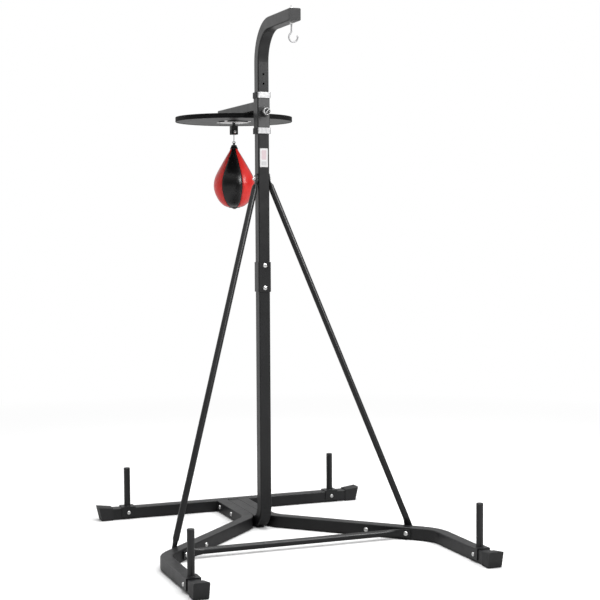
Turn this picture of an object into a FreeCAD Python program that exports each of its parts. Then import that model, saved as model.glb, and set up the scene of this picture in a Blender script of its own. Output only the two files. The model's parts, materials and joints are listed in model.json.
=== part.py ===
import FreeCAD, Part
import math
import os
import Sketcher
from FreeCAD import Placement, Rotation, Vector

# Free-standing boxing stand: a J-shaped square-tube mast on a splayed
# three-legged base with weight pegs, two diagonal braces and a front
# cross bar, a forward arm with a hook for a heavy bag, and a speed bag
# drum on a height-adjustable carriage behind the mast.
# Frame: origin on the floor under the mast axis, +Z up, front is -Y, right is +X.
# The pieces are moved to the middle of the footprint when they are written.

os.makedirs("parts", exist_ok=True)
doc = FreeCAD.newDocument("BagStand")

# ---------------------------------------------------------------- dimensions
# Endings: _w outer width, _in inner width, _rad radius, _lo and _hi heights above the floor.
SIZES = dict(
    # frame tube, height of the base centre lines, gap between fitted parts
    tube_w=50.0, tube_wall=3.0, tube_rad=5.0, tube_irad=2.5, base_z=28.0, gap=0.3,
    # rear beam and the tongue that runs forward from it
    beam_y=458.0, beam_len=1230.0, tongue_w=49.6, tongue_end=316.0,
    # legs: straight at x = leg_off, then along x + y = leg_sum, then straight at x = foot_x
    leg_off=50.3, leg_rear=432.6, leg_sum=102.0, leg_bend_a=120.0,
    foot_x=592.7, leg_bend_b=150.0, foot_end=973.0, seam_x=435.6,
    # inner connector of each leg and the x of its two bolts
    splice_w=43.6, splice_wall=2.5, splice_len=236.0, bolt_a_x=373.7, bolt_b_x=502.0,
    # y of the bolts through legs, tongue and mast heel
    hub_bolt_a=396.0, hub_bolt_b=231.0,
    # mast, top arm and the sleeve that joins the mast halves
    mast_bend=150.0, heel_bend=75.0, heel_end=315.2, mast_split=1104.0,
    mast_top=2172.0, arm_end=397.0,
    sleeve_w=57.4, sleeve_in=50.8, sleeve_lo=1040.0, sleeve_hi=1168.0,
    sleeve_bolt_lo=1057.0, sleeve_bolt_hi=1154.0,
    # frame bolts and nuts, then the thinner ones of the pegs
    bolt_rad=5.0, bolt_hole=5.3, head_rad=10.0, head_high=5.6, nut_circ=9.8, nut_high=9.0,
    pegbolt_rad=4.0, pegbolt_hole=4.3, pegnut_circ=7.6, pegnut_high=7.5,
    # braces and cross bar with flattened ends
    brace_rad=13.0, brace_wall=2.0, tab_half=17.0, tab_thick=6.0,
    brace_top_y=-4.0, brace_top_z=1526.0, bar_rad=14.0, bar_y=-384.0, bar_wall=2.0,
    # weight pegs and their saddles
    peg_rad=14.0, peg_wall=2.5, peg_top=228.0, peg_rear_x=497.0, peg_front_y=-858.0,
    saddle_len=62.0, saddle_in=50.6, saddle_wall=4.0, saddle_low=12.0,
    # foot caps
    cap_in=50.4, cap_small=57.0, cap_big=63.0, cap_high=66.0, cap_cover=46.0,
    cap_over=21.0, cap_under=4.0,
    # carriage: slide, collars, liners and arm
    car_w=56.4, car_in=52.0, car_lo=1720.0, car_hi=1895.0,
    collar_w=62.5, collar_in=56.5, collar_high=25.0, collar_lo=1719.0, collar_hi=1871.0,
    liner_w=51.9, liner_in=50.4, liner_high=40.0,
    arm_w=40.0, arm_wall=2.5, arm_far=545.0, arm_low=1819.3,
    # drum board, rim, mounting plate and bolts
    drum_y=375.5, drum_rad=265.0, drum_under=1797.0, board_thick=18.0,
    rim_thick=2.6, rim_low=1795.6, rim_high=1816.6, pad_plate=150.0, pad_thick=4.0,
    drum_bolt=55.0, drum_bolt_rad=3.5, drum_bolt_hole=3.8,
    # swivel: plate, screw circle radius, spindle, fork, pin and thrust balls
    swplate_rad=68.0, swplate_thick=4.0, sw_screw_pcr=52.0,
    spindle_rad=7.0, spindle_bore=7.06, flange_rad=12.0,
    fork_w=32.0, fork_hi=1780.0, fork_lo=1739.0, web_low=1768.0, fork_gap=16.0,
    pin_rad=3.5, pin_bore=3.55, pin_z=1751.0, ball_rad=1.5,
    # speed bag link and bag
    eye_rad=8.0, eye_thick=10.0, link_rad=2.0, ring_rad=6.0, ring_z=1702.6,
    bag_max=94.0, bag_wall=3.0,
    # spring plunger and the mast holes it drops into
    knob_z=1811.0, pin_r=4.0, pin_guide=4.06, knob_rad=15.5, pin_tip=26.2,
    index_hole=4.6, index_pitch=40.0,
    # heavy bag hook: first and second bend radius end in _a and _b
    hook_y=-363.0, hook_rad=3.5, hook_bore=3.55, hook_z=2113.0, hook_r_a=20.0, hook_r_b=19.0,
    # distance the pieces are moved back when they are written
    origin_back=176.38,
)
sheet = doc.addObject("Spreadsheet::Sheet", "Dims")
for row, (alias, number) in enumerate(SIZES.items(), 1):
    sheet.set("A%d" % row, alias.replace("_", " "))
    sheet.set("B%d" % row, repr(number))
    sheet.setAlias("B%d" % row, alias)
doc.recompute()


class Length:
    """A number together with the sheet expression that drives it."""
    def __init__(self, value, expr):
        self.value = float(value)
        self.expr = expr

    @staticmethod
    def of(item):
        if isinstance(item, Length):
            return item
        return Length(item, "%.9g" % item if item >= 0 else "(0 - %.9g)" % -item)

    def __add__(self, other):
        other = Length.of(other)
        return Length(self.value + other.value, "(%s + %s)" % (self.expr, other.expr))
    __radd__ = __add__

    def __sub__(self, other):
        other = Length.of(other)
        return Length(self.value - other.value, "(%s - %s)" % (self.expr, other.expr))

    def __rsub__(self, other):
        return Length.of(other) - self

    def __mul__(self, other):
        other = Length.of(other)
        return Length(self.value * other.value, "(%s * %s)" % (self.expr, other.expr))
    __rmul__ = __mul__

    def __truediv__(self, other):
        other = Length.of(other)
        return Length(self.value / other.value, "(%s / %s)" % (self.expr, other.expr))

    def __neg__(self):
        return Length(-self.value, "(0 - %s)" % self.expr)


class BoundSizes:
    """size.tube_w is the sheet's tube_w as a Length."""
    def __getattr__(self, alias):
        return Length(sheet.get(alias), "Dims." + alias)


class PlainSizes:
    """mm.tube_w is the sheet's tube_w as a plain number."""
    def __getattr__(self, alias):
        return float(sheet.get(alias))


size = BoundSizes()
mm = PlainSizes()
nodes = {}      # the pieces to write, by label


def node(obj, label):
    obj.Label = label
    nodes[label] = obj
    return obj


def set_size(obj, prop, length):
    """Set a property and bind it to the sheet."""
    length = Length.of(length)
    setattr(obj, prop, length.value)
    obj.setExpression(prop, length.expr)


# ------------------------------------------------------- directions, places
X_DIR, Y_DIR, Z_DIR = (1, 0, 0), (0, 1, 0), (0, 0, 1)
UP = Vector(*Z_DIR)
COS45 = math.sqrt(0.5)
TAN22 = math.tan(math.radians(22.5))
CORNERS = [(-1, -1), (-1, 1), (1, -1), (1, 1)]      # signs of x and y


def unit(vector):
    vector = Vector(vector)
    vector.normalize()
    return vector


def square_to(vector, axis):
    """The part of vector square to axis, as a unit vector."""
    return unit(vector - axis * vector.dot(axis))


def at(point, direction=Z_DIR, along=0.0):
    """Placement that turns +Z to direction and moves along it from point."""
    way = Vector(*direction)
    return Placement(Vector(*point) + unit(way) * along, Rotation(UP, way))


def on_floor(x, y, angle):
    return Placement(Vector(x, y, 0), Rotation(UP, angle))


def leg_point(x):
    """Point on the 45 degree centre line of the right leg."""
    return (x, mm.leg_sum - x, mm.base_z)


# ---------------------------------------------------------------- sketch help
def new_body(name):
    return doc.addObject("PartDesign::Body", name)


def new_sketch(body, name, role, offset=0.0):
    """Sketch on an origin plane. The normal of XZ_Plane is -Y, so it is offset forwards."""
    plane = [o for o in body.Origin.OriginFeatures if getattr(o, "Role", "") == role][0]
    sketch = body.newObject("Sketcher::SketchObject", name)
    sketch.AttachmentSupport = [(plane, "")]
    sketch.MapMode = "FlatFace"
    sketch.AttachmentOffset = Placement(Vector(0, 0, Length.of(offset).value), Rotation())
    if isinstance(offset, Length):
        sketch.setExpression("AttachmentOffset.Base.z", offset.expr)
    return sketch


def constrain(sketch, kind, *args):
    return sketch.addConstraint(Sketcher.Constraint(kind, *args))


def dimension(sketch, kind, args, length):
    """Add one dimension constraint and bind it to the sheet."""
    length = Length.of(length)
    index = constrain(sketch, kind, *args, length.value)
    name = "c%d" % index
    sketch.renameConstraint(index, name)
    sketch.setExpression("Constraints." + name, length.expr)


def pin_point(sketch, geometry, end, x, y):
    """Fix one point of a geometry; a zero coordinate puts it on that axis."""
    for kind, axis, coordinate in (("DistanceX", -2, x), ("DistanceY", -1, y)):
        coordinate = Length.of(coordinate)
        if abs(coordinate.value) < 1e-9:
            constrain(sketch, "PointOnObject", geometry, end, axis)
        else:
            dimension(sketch, kind, (-1, 1, geometry, end), coordinate)


def plain(point):
    return tuple(Length.of(coordinate).value for coordinate in point)


def polar(centre, radius, degrees):
    angle = math.radians(degrees)
    return (centre[0] + radius * math.cos(angle), centre[1] + radius * math.sin(angle))


def add_line(sketch, start, end):
    return sketch.addGeometry(Part.LineSegment(Vector(*start, 0), Vector(*end, 0)), False)


def add_arc(sketch, centre, radius, first, last):
    """Arc from the first to the last angle, in degrees."""
    ring = Part.Circle(Vector(*centre, 0), UP, radius)
    arc = Part.ArcOfCircle(ring, math.radians(first), math.radians(last))
    return sketch.addGeometry(arc, False)


def polygon(sketch, points):
    count = len(points)
    corners = [plain(point) for point in points]
    lines = [add_line(sketch, corners[i], corners[(i + 1) % count]) for i in range(count)]
    for i in range(count):
        constrain(sketch, "Coincident", lines[i], 2, lines[(i + 1) % count], 1)
    for line, point in zip(lines, points):
        pin_point(sketch, line, 1, *point)


def circle(sketch, x, y, radius):
    ring = Part.Circle(Vector(*plain((x, y)), 0), UP, Length.of(radius).value)
    geometry = sketch.addGeometry(ring, False)
    pin_point(sketch, geometry, 3, x, y)
    dimension(sketch, "Radius", (geometry,), radius)


def rounded_rect(sketch, x, y, width, height, radius):
    """Rounded rectangle about (x, y) with tangent corners, every size bound."""
    x, y, width, height, radius = map(Length.of, (x, y, width, height, radius))
    low_x, high_x = x - width / 2, x + width / 2
    low_y, high_y = y - height / 2, y + height / 2
    x0, x1, y0, y1, r = plain((low_x, high_x, low_y, high_y, radius))
    bottom = add_line(sketch, (x0 + r, y0), (x1 - r, y0))
    corner = add_arc(sketch, (x1 - r, y0 + r), r, -90, 0)
    right = add_line(sketch, (x1, y0 + r), (x1, y1 - r))
    corner_b = add_arc(sketch, (x1 - r, y1 - r), r, 0, 90)
    top = add_line(sketch, (x1 - r, y1), (x0 + r, y1))
    corner_c = add_arc(sketch, (x0 + r, y1 - r), r, 90, 180)
    left = add_line(sketch, (x0, y1 - r), (x0, y0 + r))
    corner_d = add_arc(sketch, (x0 + r, y0 + r), r, 180, 270)
    loop = [bottom, corner, right, corner_b, top, corner_c, left, corner_d]
    for i in range(8):
        constrain(sketch, "Tangent", loop[i], 2, loop[(i + 1) % 8], 1)
    for line in (bottom, top):
        constrain(sketch, "Horizontal", line)
    for line in (left, right):
        constrain(sketch, "Vertical", line)
    for other in (corner_b, corner_c, corner_d):
        constrain(sketch, "Equal", corner, other)
    dimension(sketch, "Radius", (corner,), radius)
    dimension(sketch, "DistanceX", (-1, 1, left, 1), low_x)
    dimension(sketch, "DistanceX", (-1, 1, right, 1), high_x)
    dimension(sketch, "DistanceY", (-1, 1, bottom, 1), low_y)
    dimension(sketch, "DistanceY", (-1, 1, top, 1), high_y)


def square(sketch, x, y, width, radius):
    rounded_rect(sketch, x, y, width, width, radius)


def square_tube(sketch, x, y, outer, inner, outer_rad, inner_rad):
    square(sketch, x, y, outer, outer_rad)
    square(sketch, x, y, inner, inner_rad)


def frame_tube(sketch, x, y):
    inner = size.tube_w - 2 * size.tube_wall
    square_tube(sketch, x, y, size.tube_w, inner, size.tube_rad, size.tube_irad)


def bent_path(sketch, start, end, centre, radius, first_angle, sweep):
    """Line along the sketch's y, arc, then line, tangent in turn. Returns the two lines."""
    centre_xy = plain(centre)
    rad = radius.value
    last_angle = first_angle + sweep
    run_in = add_line(sketch, plain(start), polar(centre_xy, rad, first_angle))
    bend = add_arc(sketch, centre_xy, rad, first_angle, last_angle)
    run_out = add_line(sketch, polar(centre_xy, rad, last_angle), plain(end))
    constrain(sketch, "Tangent", run_in, 2, bend, 1)
    constrain(sketch, "Tangent", bend, 2, run_out, 1)
    constrain(sketch, "Vertical", run_in)
    dimension(sketch, "Radius", (bend,), radius)
    pin_point(sketch, run_in, 1, *start)
    pin_point(sketch, run_out, 2, *end)
    return run_in, run_out


# --------------------------------------------------------------- feature help
def extrude(kind, body, sketch, length, name, mid, rev):
    feature = body.newObject("PartDesign::" + kind, name)
    feature.Profile = sketch
    set_size(feature, "Length", length)
    if mid:
        feature.Midplane = True
    feature.Reversed = rev
    body.Tip = feature
    return feature


def pad(body, sketch, length, name="Pad", mid=False, rev=False):
    return extrude("Pad", body, sketch, length, name, mid, rev)


def pocket(body, sketch, length, name, mid=False, rev=False):
    return extrude("Pocket", body, sketch, length, name, mid, rev)


def revolve(body, sketch, name="Revolution"):
    feature = body.newObject("PartDesign::Revolution", name)
    feature.Profile = sketch
    feature.ReferenceAxis = (sketch, ["V_Axis"])
    feature.Angle = 360.0
    body.Tip = feature


def turned(name, section_name, points, place=None, feature="Revolution"):
    """Body turned about Z from a polygon of (radius, z) points."""
    body = new_body(name)
    section = new_sketch(body, section_name, "XZ_Plane")
    polygon(section, points)
    revolve(body, section, feature)
    if place:
        body.Placement = place
    return body


def pipe(body, section, path):
    feature = body.newObject("PartDesign::AdditivePipe", "Pipe")
    feature.Profile = section
    feature.Spine = (path, [])
    body.Tip = feature


def cylinder(name, radius, length, base, direction=Z_DIR, along=0.0):
    obj = doc.addObject("Part::Cylinder", name)
    set_size(obj, "Radius", radius)
    set_size(obj, "Height", length)
    obj.Placement = at(base, direction, along)
    return obj


def drill(name, radius, length, centre, direction):
    """Cylinder with its middle at centre, to cut a through hole."""
    return cylinder(name, radius, length, centre, direction, -length / 2)


def fuse(name, base, tool):
    obj = doc.addObject("Part::Fuse", name)
    obj.Base = base
    obj.Tool = tool
    return obj


def cut(name, base, tools):
    tool = tools[0]
    if len(tools) > 1:
        tool = doc.addObject("Part::MultiFuse", name + "_drills")
        tool.Shapes = tools
    obj = doc.addObject("Part::Cut", name)
    obj.Base = base
    obj.Tool = tool
    return obj


def mirror_x(name, source):
    obj = doc.addObject("Part::Mirroring", name)
    obj.Source = source
    obj.Normal = Vector(1, 0, 0)
    obj.Base = Vector(0, 0, 0)
    return obj


def group(name, label, master, places):
    """Identical separate solids: one linked master at several placements."""
    links = []
    for i, place in enumerate(places):
        link = doc.addObject("App::Link", "%s_at_%d" % (name, i))
        link.LinkedObject = master
        link.LinkTransform = False
        link.Placement = place
        links.append(link)
    compound = doc.addObject("Part::Compound", name)
    compound.Links = links
    node(compound, label)


# ------------------------------------------------------------- shared places
TUBE_HALF = mm.tube_w / 2
SPLICE_BOLT = leg_point(mm.bolt_a_x)    # bolt through leg and connector
BRACE_BOLT = leg_point(mm.bolt_b_x)     # bolt through leg, connector, brace and cross bar
LEG_NORMAL = (1, 1, 0)                  # out of the back of the right leg's oblique run
TAB_OFFSET = TUBE_HALF + mm.gap + mm.tab_thick / 2      # tube centre line to tab mid-plane
PEG_BOLT_Z = 30.0
# pegs: label ending, x, y, turn about Z, direction of the bolt
PEGS = [
    ("rear_left", -mm.peg_rear_x, mm.beam_y, 90, Y_DIR),
    ("rear_right", mm.peg_rear_x, mm.beam_y, 90, Y_DIR),
    ("front_left", -mm.foot_x, mm.peg_front_y, 0, X_DIR),
    ("front_right", mm.foot_x, mm.peg_front_y, 0, X_DIR),
]
DRUM_BOLTS = [(sx * mm.drum_bolt, mm.drum_y + sy * mm.drum_bolt) for sx, sy in CORNERS]
SWIVEL_SCREWS = [(sx * mm.sw_screw_pcr * COS45, mm.drum_y + sy * mm.sw_screw_pcr * COS45)
                 for sx, sy in CORNERS]
DRUM_AXIS = at((0, mm.drum_y, 0))


# ------------------------------------------------------------------ the base
def rear_beam():
    beam = new_body("RearBeam")
    section = new_sketch(beam, "BeamSection", "YZ_Plane")
    frame_tube(section, size.beam_y, size.base_z)
    pad(beam, section, size.beam_len, mid=True)
    # the tongue starts 1 mm inside the beam's front wall
    tongue_start = size.beam_y - size.tube_w / 2 + 1.0
    section = new_sketch(beam, "TongueSection", "XZ_Plane", -tongue_start)
    square_tube(section, 0, size.base_z, size.tongue_w, size.tongue_w - 2 * size.tube_wall,
                size.tube_rad, size.tube_irad)
    pad(beam, section, tongue_start - size.tongue_end, "Tongue")
    drills = [drill("beam_hub_drill", size.bolt_hole, 200,
                    (0, mm.hub_bolt_a, mm.base_z), X_DIR)]
    for side in (-1, 1):
        drills.append(drill("beam_peg_drill_%d" % (side + 1), size.pegbolt_hole, 80,
                            (side * mm.peg_rear_x, mm.beam_y, PEG_BOLT_Z), Y_DIR))
    node(cut("RearBeamDrilled", beam, drills), "rear_beam")


def leg_blank(name, x, start_y, radius, side):
    """Half of the right leg, from its straight end to the seam.

    Away from that end it bends towards +X when side is 1 and towards -X when it is -1.
    """
    half_seam = 0.2
    bend_y = size.leg_sum - x + side * TAN22 * radius
    seam_x = size.seam_x - side * half_seam
    leg = new_body(name)
    path = new_sketch(leg, name + "Path", "XY_Plane", size.base_z)
    straight, _ = bent_path(
        path, start=(x, start_y), end=(seam_x, size.leg_sum - seam_x),
        centre=(x + side * radius, bend_y), radius=radius,
        first_angle=180 if side > 0 else 0, sweep=45)
    dimension(path, "DistanceY", (-1, 1, straight, 2), bend_y)
    section = new_sketch(leg, name + "Section", "XZ_Plane", -start_y)
    frame_tube(section, x, size.base_z)
    pipe(leg, section, path)
    return leg


def leg_drill(name, point):
    return drill(name, size.bolt_hole, 90, point, LEG_NORMAL)


def legs():
    rear = leg_blank("LegRear", size.leg_off, size.leg_rear, size.leg_bend_a, 1)
    front = leg_blank("LegFront", size.foot_x, -size.foot_end, size.leg_bend_b, -1)
    rear = cut("RightLegRear", rear, [
        drill("lr_d0", size.bolt_hole, 80, (mm.leg_off, mm.hub_bolt_a, mm.base_z), X_DIR),
        drill("lr_d1", size.bolt_hole, 80, (mm.leg_off, mm.hub_bolt_b, mm.base_z), X_DIR),
        leg_drill("lr_d2", SPLICE_BOLT)])
    front = cut("RightLegFront", front, [
        leg_drill("lf_d0", BRACE_BOLT),
        drill("lf_d1", size.pegbolt_hole, 90, (mm.foot_x, mm.peg_front_y, PEG_BOLT_Z), X_DIR)])
    node(rear, "right_leg_rear")
    node(front, "right_leg_front")
    node(mirror_x("LeftLegRear", rear), "left_leg_rear")
    node(mirror_x("LeftLegFront", front), "left_leg_front")


def leg_connectors():
    """Inner tubes that join the two halves of each leg."""
    inner_rad = 1.2
    blank = new_body("SpliceBlank")
    section = new_sketch(blank, "SpliceSection", "YZ_Plane")
    square_tube(section, 0, 0, size.splice_w, size.splice_w - 2 * size.splice_wall,
                size.tube_irad, inner_rad)
    pad(blank, section, size.splice_len, mid=True)
    blank.Placement = Placement(Vector(*leg_point(mm.seam_x)), Rotation(UP, -45))
    splice = cut("RightLegSplice", blank, [
        leg_drill("sp_d0", SPLICE_BOLT),
        leg_drill("sp_d1", BRACE_BOLT)])
    node(splice, "right_leg_connector")
    node(mirror_x("LeftLegSplice", splice), "left_leg_connector")


# ------------------------------------------------------------------ the mast
def mast_blank(name, start_z, radius, level, end_y, side):
    """Upright tube from start_z bent level: to the rear when side is 1, forwards when -1."""
    mast = new_body(name)
    path = new_sketch(mast, name + "Path", "YZ_Plane")
    _, run_out = bent_path(
        path, start=(0, start_z), end=(end_y, level),
        centre=(side * radius, level + side * radius), radius=radius,
        first_angle=180 if side > 0 else 0, sweep=90)
    constrain(path, "Horizontal", run_out)
    section = new_sketch(mast, name + "Section", "XY_Plane", start_z)
    frame_tube(section, 0, 0)
    pipe(mast, section, path)
    return mast


def lower_mast():
    mast = mast_blank("LowerMast", size.mast_split, size.heel_bend, size.base_z,
                      size.heel_end, 1)
    node(cut("LowerMastDrilled", mast, [
        drill("lm_d0", size.bolt_hole, 80, (0, mm.hub_bolt_b, mm.base_z), X_DIR),
        drill("lm_d1", size.bolt_hole, 80, (0, 0, mm.sleeve_bolt_lo), Y_DIR)]), "lower_mast")


def upper_mast():
    """Upper mast and top arm; its index holes go through the front wall only."""
    seam = 0.4
    index_holes = 5
    mast = mast_blank("UpperMast", size.mast_split + seam, size.mast_bend, size.mast_top,
                      -size.arm_end, -1)
    drills = [
        drill("um_d0", size.bolt_hole, 80, (0, 0, mm.sleeve_bolt_hi), Y_DIR),
        drill("um_d1", size.bolt_hole, 80, (0, mm.brace_top_y, mm.brace_top_z), X_DIR),
        drill("um_d2", size.hook_bore, 80, (0, mm.hook_y, mm.mast_top), Z_DIR)]
    for i in range(index_holes):
        drills.append(drill("um_i%d" % i, size.index_hole, 20,
                            (0, -TUBE_HALF, mm.knob_z + i * mm.index_pitch), Y_DIR))
    node(cut("UpperMastDrilled", mast, drills), "upper_mast")


def tube_plug(name, prefix, offset, z, tube, flange, core, faces_front):
    """Plug in the end of a tube that runs along Y.

    tube is (width, wall, corner radius), core is (length, corner radius) and
    offset places the XZ plane at the tube's end.
    """
    width, wall, corner = tube
    core_length, core_corner = core
    clearance = 0.4
    plug = new_body(name)
    section = new_sketch(plug, prefix + "Flange", "XZ_Plane", offset)
    square(section, 0, z, width, corner)
    pad(plug, section, flange, "Flange", rev=not faces_front)
    section = new_sketch(plug, prefix + "Core", "XZ_Plane", offset)
    square(section, 0, z, width - 2 * wall - clearance, core_corner)
    pad(plug, section, core_length, "Core", rev=faces_front)
    return plug


def arm_end_plug():
    node(tube_plug("ArmPlug", "ArmPlug", size.arm_end + 0.1, size.mast_top,
                   tube=(size.tube_w, size.tube_wall, size.tube_rad),
                   flange=5.0, core=(18.0, 2.0), faces_front=True), "arm_end_plug")


def mast_sleeve():
    """Outer sleeve that joins lower and upper mast."""
    sleeve = new_body("MastSleeve")
    section = new_sketch(sleeve, "SleeveSection", "XY_Plane", size.sleeve_lo)
    square_tube(section, 0, 0, size.sleeve_w, size.sleeve_in, 6.0, 4.0)
    pad(sleeve, section, size.sleeve_hi - size.sleeve_lo)
    node(cut("MastSleeveDrilled", sleeve, [
        drill("ms_d0", size.bolt_hole, 80, (0, 0, mm.sleeve_bolt_lo), Y_DIR),
        drill("ms_d1", size.bolt_hole, 80, (0, 0, mm.sleeve_bolt_hi), Y_DIR)]), "mast_sleeve")


def blank_plate():
    """Thin plain plate on the front of the mast."""
    centre_z, width, height, corner, thick = 1616.0, 36.0, 80.0, 3.0, 0.25
    plate = new_body("BlankPlate")
    section = new_sketch(plate, "PlateFace", "XZ_Plane", size.tube_w / 2 + 0.02)
    rounded_rect(section, 0, centre_z, width, height, corner)
    pad(plate, section, thick)
    node(plate, "blank_plate")


# ------------------------------------------- tubes with flattened, bent ends
def ring(centre, width_dir, thick_dir, half_width, half_thick, power, shift=0.0):
    """Closed section: a circle when power is 2, a flat rounded bar when it is larger.

    shift turns the first point so that successive sections line up in the loft.
    """
    count = 32
    points = []
    for k in range(count):
        angle = 2 * math.pi * k / count - shift
        cos, sin = math.cos(angle), math.sin(angle)
        across = half_width * math.copysign(abs(cos) ** (2.0 / power), cos)
        through = half_thick * math.copysign(abs(sin) ** (2.0 / power), sin)
        points.append(centre + width_dir * across + thick_dir * through)
    curve = Part.BSplineCurve()
    curve.interpolate(Points=points, PeriodicFlag=True)
    return Part.Wire([curve.toShape()])


def tab_ring(centre, width_dir, thick_dir, shift=0.0):
    return ring(centre, width_dir, thick_dir, mm.tab_half, mm.tab_thick / 2, 5, shift)


def flat_tube(name, sections, bore_start, bore_end, bore_rad, holes):
    """Loft bored along its round part, with bolt holes given as (point, direction)."""
    solid = Part.makeLoft(sections, True, True)
    axis = bore_end - bore_start
    solid = solid.cut(Part.makeCylinder(bore_rad, axis.Length, bore_start, axis))
    for point, direction in holes:
        solid = solid.cut(Part.makeCylinder(mm.bolt_hole, 40, point - direction * 20, direction))
    feature = doc.addObject("Part::Feature", name)
    feature.Shape = solid
    return feature


def braces():
    """Diagonal braces from the backs of the legs up to the sides of the mast."""
    foot_normal = Vector(COS45, COS45, 0)
    top_normal = Vector(*X_DIR)
    foot_hole = Vector(*BRACE_BOLT) + foot_normal * TAB_OFFSET
    top_hole = Vector(TAB_OFFSET, mm.brace_top_y, mm.brace_top_z)
    round_start = Vector(507.4, -368.8, 83.0)
    axis_top = Vector(44.4, -16.4, 1469.0)
    axis = unit(axis_top - round_start)
    round_end = axis_top + axis * 10
    neck = Vector(37.2, -9.0, 1498.0)       # between the round part and the top tab
    bore_inset = 12
    foot_along = square_to(axis, foot_normal)
    foot_width = unit(axis.cross(foot_normal))
    round_normal = square_to(foot_normal, axis)
    top_along = square_to(axis, top_normal)
    top_width = unit(axis.cross(top_normal))
    # turn from the foot's section basis to the top's
    shift = math.atan2(square_to(top_normal, axis).dot(foot_width), top_width.dot(foot_width))
    rad = mm.brace_rad
    sections = [
        tab_ring(foot_hole - foot_along * 19, foot_width, foot_normal),
        tab_ring(foot_hole + foot_along * 29, foot_width, foot_normal),
        ring(round_start, foot_width, round_normal, rad, rad, 2),
        ring(round_end, foot_width, round_normal, rad, rad, 2),
        ring(neck, top_width, top_normal, 15.0, 9.0, 3, shift),
        tab_ring(top_hole - top_along * 14, top_width, top_normal, shift),
        tab_ring(top_hole + top_along * 19, top_width, top_normal, shift)]
    brace = flat_tube("RightBrace", sections,
                      round_start + axis * bore_inset, round_end - axis * bore_inset,
                      rad - mm.brace_wall,
                      [(foot_hole, foot_normal), (top_hole, top_normal)])
    node(brace, "right_brace")
    node(mirror_x("LeftBrace", brace), "left_brace")


def front_crossbar():
    """Cross bar on the front faces of the two legs."""
    round_half = 400.0
    bore_half = round_half - 10
    tab_in, tab_out = 26, 20        # from the bolt towards the bar's middle and its end
    right_normal = Vector(COS45, COS45, 0)
    left_normal = Vector(-COS45, COS45, 0)
    right_out = Vector(COS45, -COS45, 0)
    left_out = Vector(-COS45, -COS45, 0)
    right_hole = Vector(*BRACE_BOLT) - right_normal * TAB_OFFSET
    left_hole = Vector(-right_hole.x, right_hole.y, right_hole.z)
    rad = mm.bar_rad
    back = Vector(*Y_DIR)
    sections = [
        tab_ring(left_hole + left_out * tab_out, UP, left_normal),
        tab_ring(left_hole - left_out * tab_in, UP, left_normal),
        ring(Vector(-round_half, mm.bar_y, mm.base_z), UP, back, rad, rad, 2),
        ring(Vector(round_half, mm.bar_y, mm.base_z), UP, back, rad, rad, 2),
        tab_ring(right_hole - right_out * tab_in, UP, right_normal),
        tab_ring(right_hole + right_out * tab_out, UP, right_normal)]
    node(flat_tube("FrontCrossbar", sections,
                   Vector(-bore_half, mm.bar_y, mm.base_z),
                   Vector(bore_half, mm.bar_y, mm.base_z), rad - mm.bar_wall,
                   [(right_hole, right_normal), (left_hole, left_normal)]), "front_crossbar")


# ---------------------------------------------------- weight pegs, foot caps
def weight_peg(label, placement):
    """Saddle over a base tube with a hollow post on top."""
    overlap = 0.5
    inner = size.saddle_in / 2
    outer = inner + size.saddle_wall
    low = size.saddle_low
    roof = size.base_z + size.tube_w / 2 + size.gap
    top = roof + size.saddle_wall
    peg = new_body(label + "_blank")
    section = new_sketch(peg, "SaddleSection", "XZ_Plane")
    polygon(section, [(-outer, low), (-inner, low), (-inner, roof), (inner, roof),
                      (inner, low), (outer, low), (outer, top), (-outer, top)])
    pad(peg, section, size.saddle_len, "Saddle", mid=True)
    section = new_sketch(peg, "PostSection", "XY_Plane", top - overlap)
    circle(section, 0, 0, size.peg_rad)
    circle(section, 0, 0, size.peg_rad - size.peg_wall)
    pad(peg, section, size.peg_top - top + overlap, "Post")
    section = new_sketch(peg, "BoltHoles", "YZ_Plane")
    circle(section, 0, PEG_BOLT_Z, size.pegbolt_hole)
    pocket(peg, section, 200.0, "BoltHole", mid=True)
    peg.Placement = placement
    node(peg, label)


def weight_pegs():
    for ending, x, y, turn, _ in PEGS:
        weight_peg("weight_peg_" + ending, on_floor(x, y, turn))


def peg_plugs():
    core = size.peg_rad - size.peg_wall - 0.15
    edge = size.peg_rad - 0.2
    plug = turned("PegPlug", "PlugSection", [
        (0, -14.0), (core, -14.0), (core, 0.1), (edge, 0.1),
        (edge, 1.6), (size.peg_rad - 2.2, 3.4), (0, 3.4)])
    group("PegPlugs", "peg_plugs", plug, [at((x, y, mm.peg_top)) for _, x, y, _, _ in PEGS])


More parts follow.
